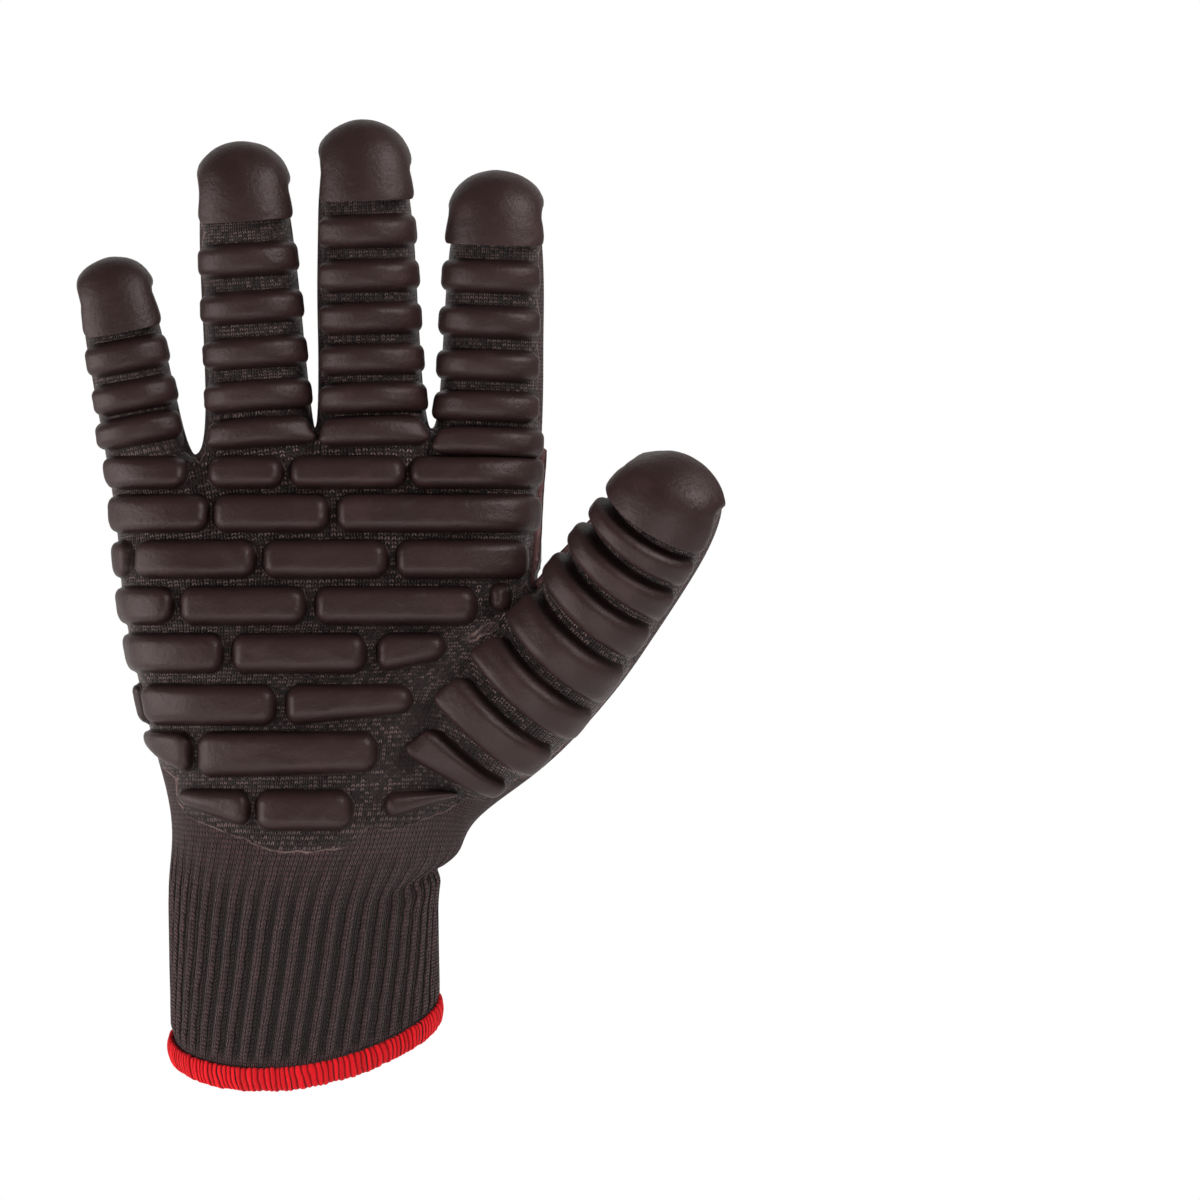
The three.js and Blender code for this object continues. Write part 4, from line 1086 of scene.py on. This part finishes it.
# The cap over a fingertip: the share of the finger where it starts to bend over the end, the degrees that
# it bends, its corners' radius and how far they draw in, how much further round the hood reaches, and how
# thin its sides are
CAP_TOP = 0.84
CAP_OVER_DEGREES = 112
CAP_CORNER = 2.8 * MM
CAP_DRAWN_IN = 0.75
CAP_HOOD_REACH = 1.13
CAP_THINNING = 0.45
CAP_SPREAD = 2.8 * MM


def lay_cap(name, spine, start, around):
    """The pad over a fingertip: straight up the finger for the first half of its rows, then over its end
    like a hood and a little down its back."""
    pads = bpy.context.scene.glove_pads
    first, last = around
    radius = spine.width / 2
    straight = (CAP_TOP - start) * spine.length
    over = math.radians(CAP_OVER_DEGREES) * radius
    width = math.radians(last - first) * radius

    def ray(column, row):
        centre, axis, front, right = spine.frame(mix(start, CAP_TOP, min(row * 2, 1)))
        past = max(CAP_CORNER - row * 2 * straight, 0)
        drawn_in = (CAP_CORNER - math.sqrt(CAP_CORNER**2 - past**2)) * CAP_DRAWN_IN
        across = 0.5 + (column - 0.5) * (1 - 2 * drawn_in / width)
        past_top = max(row * 2 - 1, 0)
        outward = turned(front, axis, past_top * CAP_OVER_DEGREES)
        reach = mix(1, CAP_HOOD_REACH, min(past_top * 2, 1))
        return centre, turned(outward, right, mix(first, last, across) * reach)

    def rise(column, row):
        degrees = mix(first, last, column)
        up = row * 2 * straight if row < 0.5 else straight + (row * 2 - 1) * over
        to_top = (straight + over - up) * math.cos(math.radians(degrees))
        inset = min(min(column, 1 - column) * width, to_top)
        inset = min(inset, corner_inset((column - 0.5) * width, up, width / 2, straight + over, CAP_CORNER))
        thickness = pads.cap_thickness * (1 - CAP_THINNING * abs(degrees / 90) ** 3)
        return pillow(inset, thickness, CAP_SPREAD, pads.flange), inset

    low = [2 * row for row in edge_steps(2 * straight, 1.2 * MM) if row < 0.499]
    high = edge_steps(2 * over, 1.1 * MM)
    rows = [row / 2 for row in low] + [row for row in high if row >= 0.5]
    return lay_pad(name, edge_steps(width, 1.2 * MM), rows, ray, rise)


def palm_edges(up):
    """Where the palm's front starts to turn round its left and right edge."""
    tree = glove_surface().tree
    start = Vector(lean_point((0, 0, up * PALM_LENGTH)))
    left = tree.ray_cast(start, Vector((-1, 0, 0)))[3]
    right = tree.ray_cast(start, Vector((1, 0, 0)))[3]
    return PALM_EDGE_RADIUS - left, right - PALM_EDGE_RADIUS


def arc_across(seen, left, right):
    """The arc length across the palm for a place seen from the front, which is never quite edge-on."""
    flat = min(max(seen, left), right)
    past = min(abs(seen - flat) / PALM_EDGE_RADIUS, STEEPEST_SEEN)
    return flat + math.copysign(PALM_EDGE_RADIUS * math.asin(past), seen - flat)


def lay_palm_pad(name, up, height, ends):
    """A pad on the palm, which may turn round either edge of it."""
    pads = bpy.context.scene.glove_pads
    left, right = palm_edges(up)
    start = arc_across(ends[0] * PALM_WIDTH, left, right) - PALM_PAD_GROWTH
    end = arc_across(ends[1] * PALM_WIDTH, left, right) + PALM_PAD_GROWTH
    cuts = ends[2:] or (0, 0)

    def ray(column, rise):
        across = mix(start, end, column)
        x = min(max(across, left), right)
        degrees = math.degrees((across - x) / PALM_EDGE_RADIUS)
        direction = turned(np.array((0, -1, 0)), np.array((1, 0, 0)), degrees)
        return np.array((x, 0, up * PALM_LENGTH + rise)), direction

    def thickness(column):
        across = mix(start, end, column)
        past = max(left - across, across - right, 0) / PALM_EDGE_RADIUS
        return pads.palm_thickness * (1 - PALM_THINNING * min(past, 1))

    return shaped_pad(name, end - start, height * PALM_LENGTH, cuts, ray, thickness, pads.corner)


def crook_stations():
    """Origin, outward and backward direction, and the two edges in degrees, along the sheet in the crook."""
    spine = thumb_spine()
    stations = []
    for up, front_edge, back_edge in CROOK_PALM:
        origin = np.array((palm_edges(up)[1], 0, up * PALM_LENGTH))
        stations.append((origin, np.array((1.0, 0, 0)), np.array((0, 1.0, 0)), front_edge, back_edge))
    thumb = []
    for along, front_edge, back_edge in CROOK_THUMB:
        centre, _, front, right = spine.frame(along)
        thumb.append((centre, -right, -front, front_edge, back_edge))
    web = [blend_stations(stations[-1], thumb[0], share) for share in WEB_STEPS]
    return stations + web + thumb


def blend_stations(a, b, share):
    out = unit(mix(a[1], b[1], share))
    back = mix(a[2], b[2], share)
    back = unit(back - out * (back @ out))
    return mix(a[0], b[0], share), out, back, mix(a[3], b[3], share), mix(a[4], b[4], share)


# Creases along the sheet: where across it, how far they stand out and how wide they are, as shares of its
# width
CREASES = ((0.2, 0.35 * MM, 0.03), (0.36, 0.5 * MM, 0.025), (0.47, -0.3 * MM, 0.03), (0.62, 0.45 * MM, 0.03))
CREASE_FADE = 3 * MM
CROOK_SPAN = 30 * MM
CROOK_LIP = 0.1 * MM
CROOK_RAGGED_DEGREES = 2.2


def lay_crook_sheet():
    """The thin sheet that lines the crook of the thumb, with creases along it and ragged edges."""
    pads = bpy.context.scene.glove_pads
    stations = crook_stations()
    last = len(stations) - 1
    lengths = [np.linalg.norm(b[0] - a[0]) for a, b in zip(stations, stations[1:])]
    total = sum(lengths) + CROOK_SPAN / 2

    def ray(column, row):
        k = min(int(column * last + 1e-6), last - 1)
        origin, out, back, first, second = blend_stations(stations[k], stations[k + 1], column * last - k)
        ragged = noise.noise(Vector((column * 26, row * 2, 4.7))) * abs(row * 2 - 1) ** 3
        return origin, turned(out, back, mix(first, second, row) + CROOK_RAGGED_DEGREES * ragged)

    def rise(column, row):
        inset = min(min(row, 1 - row) * CROOK_SPAN, min(column, 1 - column) * total)
        height = pads.sheet_thickness * math.sqrt(min(max(inset, 0) / MM, 1)) * 0.75 + CROOK_LIP
        wander = 0.05 * noise.noise(Vector((column * 9, 1.3, 0)))
        for across, tall, wide in CREASES:
            near = math.exp(-(((row + wander - across) / wide) ** 2))
            swell = 0.7 + 0.6 * noise.noise(Vector((column * 14, across, 2)))
            height += tall * near * min(inset / CREASE_FADE, 1) * swell
        return max(height, CROOK_LIP), inset

    columns = edge_steps(total, 1.3 * MM, 2 * MM)
    rows = edge_steps(CROOK_SPAN, 0.7 * MM, 2 * MM)
    return lay_pad("crook_sheet", columns, rows, ray, rise, sheet_material())


# Where the film also covers the hollow between the palm and the ball of the thumb: shares of the palm's
# width and length, and a radius
FILM_PATCHES = (
    (0.36, 0.46, 7 * MM), (0.31, 0.36, 8 * MM), (0.26, 0.26, 8 * MM), (0.2, 0.17, 6 * MM),
    (-0.07, 0.12, 5 * MM), (-0.02, 0.1, 4 * MM), (0.04, 0.1, 4 * MM), (0.1, 0.11, 4.5 * MM),
)
FILM_MERGE = 1.6 * MM
FILM_REACH = 12 * MM
NO_FILM = -9.0


def film_distance(points, margin):
    """How far inside the film each point lies, in millimetres. It reaches past the pads by the margin."""
    vertices, faces = [], []
    for piece in bpy.data.objects:
        if piece.get("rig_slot") == "pad_rubber":
            shift = len(vertices)
            vertices += [v.co.copy() for v in piece.data.vertices]
            faces += [[v + shift for v in face.vertices] for face in piece.data.polygons]
    if not vertices:
        return [NO_FILM] * len(points)
    tree = BVHTree.FromPolygons(vertices, faces)
    found = [tree.find_nearest(p, FILM_REACH)[3] for p in points.tolist()]
    fields = [np.array([margin - (FILM_REACH if distance is None else distance) for distance in found])]
    up = points[:, 1] * math.sin(LEAN) + (points[:, 2] - CUFF_HEIGHT) * math.cos(LEAN)
    depth = points[:, 1] * math.cos(LEAN) - (points[:, 2] - CUFF_HEIGHT) * math.sin(LEAN)
    for across, along, radius in FILM_PATCHES:
        away = np.hypot(points[:, 0] - across * PALM_WIDTH, up - along * PALM_LENGTH)
        fields.append(np.where(depth < 0, radius - away, -FILM_REACH))
    merged = FILM_MERGE * np.log(np.exp(np.array(fields) / FILM_MERGE).sum(axis=0))
    return list(merged / MM)


# The fold at the wrist: how much it slants, then the level, width and height of its bulge and of the pinch
# below
FOLD_SLANT = 0.25
FOLD_WAVES = ((5 * MM, 3.2 * MM, 1.7 * MM), (-0.5 * MM, 1.7 * MM, -1.9 * MM))

# The ribs of the cuff: where a groove's side starts and ends, in shares of a rib, its depth in shares of
# the rib's height, and the levels between which the ribs fade out
GROOVE_SIDE = (0.12, 0.4)
GROOVE_DEPTH = 1.8
RIBS_FADE = (-8 * MM, 12 * MM)

# The unevenness of the knit: bumps in a metre and their height
WRINKLE_SCALE = 55
WRINKLE_HEIGHT = 0.25 * MM


def wrist_fold(points, levels):
    """A soft fold across the thumb side of the wrist, where the cuff gives as the hand leans back."""
    side = ease(0.45, 0.95, points[:, 0] / (CUFF_WIDTH / 2)) * ease(24 * MM, -4 * MM, points[:, 1])
    slanted = levels + FOLD_SLANT * (CUFF_WIDTH / 2 - points[:, 0])
    return side * sum(high * np.exp(-(((slanted - level) / wide) ** 2)) for level, wide, high in FOLD_WAVES)


def knit_liner():
    """The knitted liner: its ribbed and stitched outside, and its inside a wall's thickness in."""
    knit = bpy.context.scene.glove_knit
    hem_top = bpy.context.scene.glove_hem.height - CUFF_HEIGHT
    surface = glove_surface()
    count = len(surface.points)
    place = np.zeros((count, 2))
    place[[v for face in surface.faces for v in face]] = surface.stitches
    wales, levels = place.T
    phase = wales / (RING_COLUMNS * WALES_PER_COLUMN) * knit.rib_count
    groove = 1 - ease(*GROOVE_SIDE, np.abs(phase - np.round(phase)))
    strength = ease(hem_top, hem_top + 3 * MM, levels) * (1 - ease(*RIBS_FADE, levels))
    out = knit.rib_height * strength * (1 - GROOVE_DEPTH * groove)
    wrinkle = np.array([noise.noise(Vector(p) * WRINKLE_SCALE) for p in surface.points.tolist()])
    out += WRINKLE_HEIGHT * wrinkle * ease(hem_top, hem_top + 12 * MM, levels)
    out += wrist_fold(surface.points, levels)
    outer = surface.points + surface.normals * out[:, None]
    inner = surface.points - surface.normals * knit.wall
    faces = list(surface.faces)
    faces += [tuple(v + count for v in reversed(face)) for face in surface.faces]
    corners = list(map(tuple, surface.stitches))
    start = 0
    for face in surface.faces:
        corners += list(map(tuple, surface.stitches[start:start + len(face)][::-1]))
        start += len(face)
    step = RING_COLUMNS * WALES_PER_COLUMN / CUFF_COLUMNS
    for c in range(CUFF_COLUMNS):
        d = (c + 1) % CUFF_COLUMNS
        faces.append((d, c, c + count, d + count))
        corners += [((c + 1) * step, 0), (c * step, 0), (c * step, knit.wall), ((c + 1) * step, knit.wall)]
    film = film_distance(outer, knit.film_margin) + [NO_FILM] * count
    points = np.concatenate([outer, inner]).tolist()
    # The groove attribute marks where the knit is darkened as painted shade in the grooves between the ribs
    mesh = new_mesh("knit_liner", points, faces, corners, film=film, groove=np.tile(groove * strength, 2))
    return place_piece("knit_liner", mesh, knit_material(), "knit", "liner")


# The hem: its grid, how far its stitches lean, and the share of its height above which their tops are
# uneven
HEM_STEPS_PER_LOOP = 8
HEM_SLANT = 0.5
HEM_EDGE = 0.62

# Its section: the space round the cuff, the bulge of its outside, its lowest level, how high it goes
# inside, and the share of a loop's depth that its outer top and its inside have
HEM_CLEARANCE = 0.3 * MM
HEM_BULGE = 0.35 * MM
HEM_LOW = 0.3 * MM
HEM_INSIDE = 0.8
HEM_TOP_SHARE = 0.35
HEM_INSIDE_SHARE = 0.8

# Its loops: how full they are, their size and how much it varies, how deep they lie, how far their tops
# rise past the hem's edge, how much its foot wavers, and how far they stray, as stitches, bumps in a
# stitch, a seed and bumps in a metre of height
LOOP_FULLNESS = 0.55
LOOP_SIZE = 0.8
LOOP_VARIETY = 0.5
LOOP_DEPTH = 0.4
LOOP_TOP_DEPTH = 0.65
LOOP_TOP_RISE = 0.9 * MM
HEM_WAVER = 0.35 * MM
LOOP_WAVES = ((0.45, 0.23, 7.1, 60), (0.2, 0.9, 2.3, 400))


def hem_section(hem, wall):
    """The hem's closed section as (inset, up, share of a loop's depth), from its outer top down."""
    middle = wall / 2
    half = middle + HEM_CLEARANCE + hem.thickness
    top = hem.height * HEM_INSIDE
    section = []
    for k in range(9):
        swell = HEM_BULGE * math.sin(k / 9 * math.pi)
        share = mix(HEM_TOP_SHARE, 1, min(k / 2, 1))
        section.append((middle - half - swell, mix(hem.height, HEM_LOW, k / 9), share))
    for k in range(9):
        angle = k / 8 * math.pi
        section.append((middle - half * math.cos(angle), HEM_LOW - (half - 0.7 * MM) * math.sin(angle), 1))
    section += [(middle + half, mix(HEM_LOW, top, k / 4), HEM_INSIDE_SHARE) for k in range(1, 5)]
    section += [(middle + half - hem.thickness, top, 0), (wall + HEM_CLEARANCE, 0, 0)]
    section += [(-HEM_CLEARANCE, 0, 0), (-HEM_CLEARANCE, hem.height - 0.1 * MM, 0)]
    return section


def loop_place(place, up, height):
    """The number of the stitch at a place on the hem, and how far into it: they lean and crowd unevenly."""
    spots = [(size, Vector((place * along, seed, up * rise))) for size, along, seed, rise in LOOP_WAVES]
    return place + HEM_SLANT * up / height + sum(size * noise.noise(spot) for size, spot in spots)


def overlock_hem():
    """The overlocked hem: yarn wrapped over the end of the cuff in slanted loops."""
    hem = bpy.context.scene.glove_hem
    section = hem_section(hem, bpy.context.scene.glove_knit.wall)
    ahead = section[1:] + section[:1]
    behind = section[-1:] + section[:-1]
    normals = []
    for a, b in zip(behind, ahead):
        along = unit(np.array((b[0] - a[0], b[1] - a[1])))
        normals.append((along[1], -along[0]))
    columns = hem.loops * HEM_STEPS_PER_LOOP
    n = len(section)
    points, corners, faces = [], [], []
    phases = np.empty((columns + 1, n))
    for c in range(columns + 1):
        place = c / HEM_STEPS_PER_LOOP
        near = min(place, hem.loops - place) / 3
        for k, (_, up, _) in enumerate(section):
            even = place + HEM_SLANT * up / hem.height
            phases[c, k] = mix(even, loop_place(place, up, hem.height), min(near, 1))
    for c in range(columns):
        angle = c / columns * TURN
        waver = HEM_WAVER * noise.noise(Vector((math.cos(angle) * 9, math.sin(angle) * 9, 0.3)))
        for k, ((inset, up, share), (side, rise)) in enumerate(zip(section, normals)):
            phase = phases[c, k]
            number = math.floor(phase)
            loop = math.sin(math.pi * (phase - number)) ** LOOP_FULLNESS
            size = LOOP_SIZE + LOOP_VARIETY * noise.noise(Vector((number * 3.7, 0.5, 0)))
            out = hem.loop_depth * share * (loop * size - LOOP_DEPTH)
            x = inset + side * out
            z = up + rise * out
            if share and up > hem.height * HEM_EDGE:
                near_top = (up / hem.height - HEM_EDGE) / (1 - HEM_EDGE)
                z += LOOP_TOP_RISE * near_top * (loop * size - LOOP_TOP_DEPTH)
            if up < 0.5 * MM:
                z += waver
            wide, deep = CUFF_WIDTH / 2 - x, CUFF_DEPTH / 2 - x
            points.append((-wide * math.cos(angle), -deep * math.sin(angle), z - hem_drop(angle)))
    for c in range(columns):
        d = (c + 1) % columns
        for k in range(n):
            m = (k + 1) % n
            faces.append((c * n + k, c * n + m, d * n + m, d * n + k))
            corners += [(phases[c, k], k), (phases[c, m], k + 1)]
            corners += [(phases[c + 1, m], k + 1), (phases[c + 1, k], k)]
    mesh = new_mesh("yarn_hem", points, faces, corners)
    return place_piece("yarn_hem", mesh, yarn_material(), "hem_yarn", "hem")


# Each light's name, place, target and width in metres
LIGHTS = (
    ("key", (-0.8, -0.27, 0.04), (0.02, 0.02, 0.12), 0.85),
    ("side", (0.36, -0.16, 0.44), (0.02, 0.02, 0.12), 0.25),
    ("fill", (0.03, -0.75, -0.05), (0.02, 0, 0.08), 0.5),
)

# The floor: how far it comes to the front, how far behind it bends up, the radius of the bend, the height
# of the backdrop above it, and half its width
FLOOR_FRONT = -0.3
FLOOR_BACK = 0.7
FLOOR_BEND = 0.5
BACKDROP_RISE = 1.8
FLOOR_HALF_WIDTH = 1.4
FLOOR_STEPS = 16

# Where the camera looks: across from the middle of the cuff, and up in the picture from the wrist
VIEW_ACROSS = 74.25 * MM
VIEW_UP = 67.5 * MM


def add_light(name, location, target, size, power):
    light = bpy.data.lights.new(name, "AREA")
    light.shape = "DISK"
    light.size = size
    light.energy = power
    light.color = bpy.context.scene.glove_stage.light_color
    thing = bpy.data.objects.new(name, light)
    thing.location = location
    thing.rotation_euler = (Vector(target) - Vector(location)).to_track_quat("-Z", "Y").to_euler()
    bpy.context.scene.collection.objects.link(thing)


def studio_sweep(stage):
    """A pale, evenly lit floor that curves up behind into a backdrop."""
    floor = cad_box[0].z - stage.floor_drop
    profile = [(FLOOR_FRONT, floor)]
    for k in range(FLOOR_STEPS + 1):
        angle = k / FLOOR_STEPS * math.pi / 2
        behind = FLOOR_BACK + FLOOR_BEND * math.sin(angle)
        profile.append((behind, floor + FLOOR_BEND * (1 - math.cos(angle))))
    profile.append((FLOOR_BACK + FLOOR_BEND, floor + BACKDROP_RISE))
    points = [(x, y, z) for y, z in profile for x in (-FLOOR_HALF_WIDTH, FLOOR_HALF_WIDTH)]
    faces = [(2 * k, 2 * k + 1, 2 * k + 3, 2 * k + 2) for k in range(len(profile) - 1)]
    mesh = new_mesh("studio_sweep", points, faces)
    mesh.polygons.foreach_set("use_smooth", [True] * len(mesh.polygons))
    material, w, shader = new_material("Pale floor", 0.8)
    shader.inputs["Emission Color"].default_value = (1, 1, 1, 1)
    shader.inputs["Emission Strength"].default_value = stage.floor_glow
    tint = color(stage.floor_color)
    patches = w.times(w.noise(3.0), 0.1)
    w.feed(shader.inputs["Base Color"], w.blend(patches, tint, color(tint, 0.97)))
    seen = w.node("ShaderNodeLightPath").outputs["Is Camera Ray"]
    white = w.node("ShaderNodeEmission").outputs[0]
    mixed = w.node("ShaderNodeMixShader", {0: seen, 1: shader.outputs[0], 2: white})
    w.feed(w.tree.nodes["Material Output"].inputs["Surface"], mixed.outputs[0])
    mesh.materials.append(material)
    sweep = bpy.data.objects.new("studio_sweep", mesh)
    bpy.context.scene.collection.objects.link(sweep)


def studio_world(stage):
    """White to the eye, and a dimmer even light on the glove."""
    world = bpy.data.worlds.new("even light")
    world.use_nodes = True
    w = Wiring(world.node_tree)
    background = world.node_tree.nodes["Background"]
    seen = w.node("ShaderNodeLightPath").outputs["Is Camera Ray"]
    w.feed(background.inputs["Color"], w.blend(seen, color(stage.light_color), (1, 1, 1, 1)))
    w.feed(background.inputs["Strength"], w.scaled(seen, 1 - stage.sky, stage.sky))
    return world


def set_camera(stage):
    """The camera looks a little down at the palm, with the glove left of its middle."""
    ahead = Vector((0, math.cos(stage.elevation), -math.sin(stage.elevation)))
    up = Vector((0, math.sin(stage.elevation), math.cos(stage.elevation)))
    target = Vector((VIEW_ACROSS, 0, CUFF_HEIGHT)) + up * VIEW_UP
    camera = bpy.data.objects.new("camera", bpy.data.cameras.new("camera"))
    camera.data.lens = stage.lens
    camera.data.sensor_width = 36
    camera.location = target - ahead * stage.distance
    camera.rotation_euler = ahead.to_track_quat("-Z", "Y").to_euler()
    bpy.context.scene.collection.objects.link(camera)
    bpy.context.scene.camera = camera


class GLOVE_OT_finger_bars(bpy.types.Operator):
    """Lay the rubber bars across the fingers"""

    bl_idname = "glove.finger_bars"
    bl_label = "Finger bars"

    def execute(self, context):
        for finger in FINGERS:
            spine = finger_spine(finger)
            for k in range(finger["bars"]):
                share = (k / (finger["bars"] - 1)) ** BAR_CROWDING
                along = mix(finger["bar_from"], finger["bar_to"], share)
                height = context.scene.glove_pads.bar_height * mix(BAR_FOOT_HEIGHT, 1, share)
                around = finger["around"] if k else finger["foot"]
                lay_bar(f"{finger['name']}_bar_{k + 1}", spine, along, around, height)
        return {"FINISHED"}


class GLOVE_OT_tip_pads(bpy.types.Operator):
    """Lay the rubber pads over the fingertips and the thumb's tip"""

    bl_idname = "glove.tip_pads"
    bl_label = "Tip pads"

    def execute(self, context):
        for finger in FINGERS:
            lay_cap(f"{finger['name']}_tip_pad", finger_spine(finger), finger["cap"], finger["cap_around"])
        lay_cap("thumb_tip_pad", thumb_spine(), *THUMB_CAP)
        return {"FINISHED"}


class GLOVE_OT_thumb_bars(bpy.types.Operator):
    """Lay the rubber bars on the ball of the thumb and the thumb"""

    bl_idname = "glove.thumb_bars"
    bl_label = "Thumb bars"

    def execute(self, context):
        for name, along, start, end, height, cut in THUMB_BARS:
            lay_bar(name, thumb_spine(), along, (start, end), height, cut)
        return {"FINISHED"}


class GLOVE_OT_palm_pads(bpy.types.Operator):
    """Lay the rows of rubber pads on the palm"""

    bl_idname = "glove.palm_pads"
    bl_label = "Palm pads"

    def execute(self, context):
        for r, (up, height, row) in enumerate(PALM_ROWS):
            for k, ends in enumerate(row):
                lay_palm_pad(f"palm_row_{r + 1}_pad_{k + 1}", up, height, ends)
        lay_palm_pad("heel_pad", *HEEL_PAD)
        lay_palm_pad("thumb_crotch_pad", *CROTCH_PAD)
        return {"FINISHED"}


class GLOVE_OT_crook_sheet(bpy.types.Operator):
    """Lay the thin rubber sheet in the crook of the thumb"""

    bl_idname = "glove.crook_sheet"
    bl_label = "Crook sheet"

    def execute(self, context):
        lay_crook_sheet()
        return {"FINISHED"}


class GLOVE_OT_liner(bpy.types.Operator):
    """Knit the liner, with the film of rubber round the pads that are there"""

    bl_idname = "glove.liner"
    bl_label = "Knitted liner"

    def execute(self, context):
        knit_liner()
        return {"FINISHED"}


class GLOVE_OT_hem(bpy.types.Operator):
    """Sew the overlocked hem round the wrist opening"""

    bl_idname = "glove.hem"
    bl_label = "Overlocked hem"

    def execute(self, context):
        overlock_hem()
        return {"FINISHED"}


class GLOVE_OT_stage(bpy.types.Operator):
    """Set up the pale floor, the soft lights and the camera"""

    bl_idname = "glove.stage"
    bl_label = "Stage"

    def execute(self, context):
        stage = context.scene.glove_stage
        studio_sweep(stage)
        for name, location, target, size in LIGHTS:
            add_light(name, location, target, size, getattr(stage, f"{name}_power"))
        context.scene.world = studio_world(stage)
        context.scene.view_settings.view_transform = "Standard"
        set_camera(stage)
        return {"FINISHED"}


class GLOVE_PT_sidebar(bpy.types.Panel):
    """Lists the glove's pieces in the order that they are made"""

    bl_label = "Work glove"
    bl_space_type = "VIEW_3D"
    bl_region_type = "UI"
    bl_category = "Glove"

    def draw(self, context):
        for operator in OPERATORS:
            self.layout.operator(operator.bl_idname)
        for name in SETTINGS:
            group = getattr(context.scene, name)
            box = self.layout.box()
            for key in group.bl_rna.properties.keys():
                if key not in ("rna_type", "name"):
                    box.prop(group, key)


OPERATORS = (
    GLOVE_OT_finger_bars,
    GLOVE_OT_tip_pads,
    GLOVE_OT_thumb_bars,
    GLOVE_OT_palm_pads,
    GLOVE_OT_crook_sheet,
    GLOVE_OT_liner,
    GLOVE_OT_hem,
    GLOVE_OT_stage,
)
SETTINGS = {
    "glove_knit": KnitSettings,
    "glove_pads": PadSettings,
    "glove_hem": HemSettings,
    "glove_stage": StageSettings,
}


def register():
    for kind in (*SETTINGS.values(), *OPERATORS, GLOVE_PT_sidebar):
        bpy.utils.register_class(kind)
    for name, kind in SETTINGS.items():
        setattr(bpy.types.Scene, name, PointerProperty(type=kind))


def unregister():
    for name in SETTINGS:
        delattr(bpy.types.Scene, name)
    for kind in reversed((*SETTINGS.values(), *OPERATORS, GLOVE_PT_sidebar)):
        bpy.utils.unregister_class(kind)


def main():
    register()
    bpy.ops.glove.finger_bars()
    bpy.ops.glove.tip_pads()
    bpy.ops.glove.thumb_bars()
    bpy.ops.glove.palm_pads()
    bpy.ops.glove.crook_sheet()
    bpy.ops.glove.liner()
    bpy.ops.glove.hem()
    bpy.ops.glove.stage()


if __name__ == "__main__":
    main()
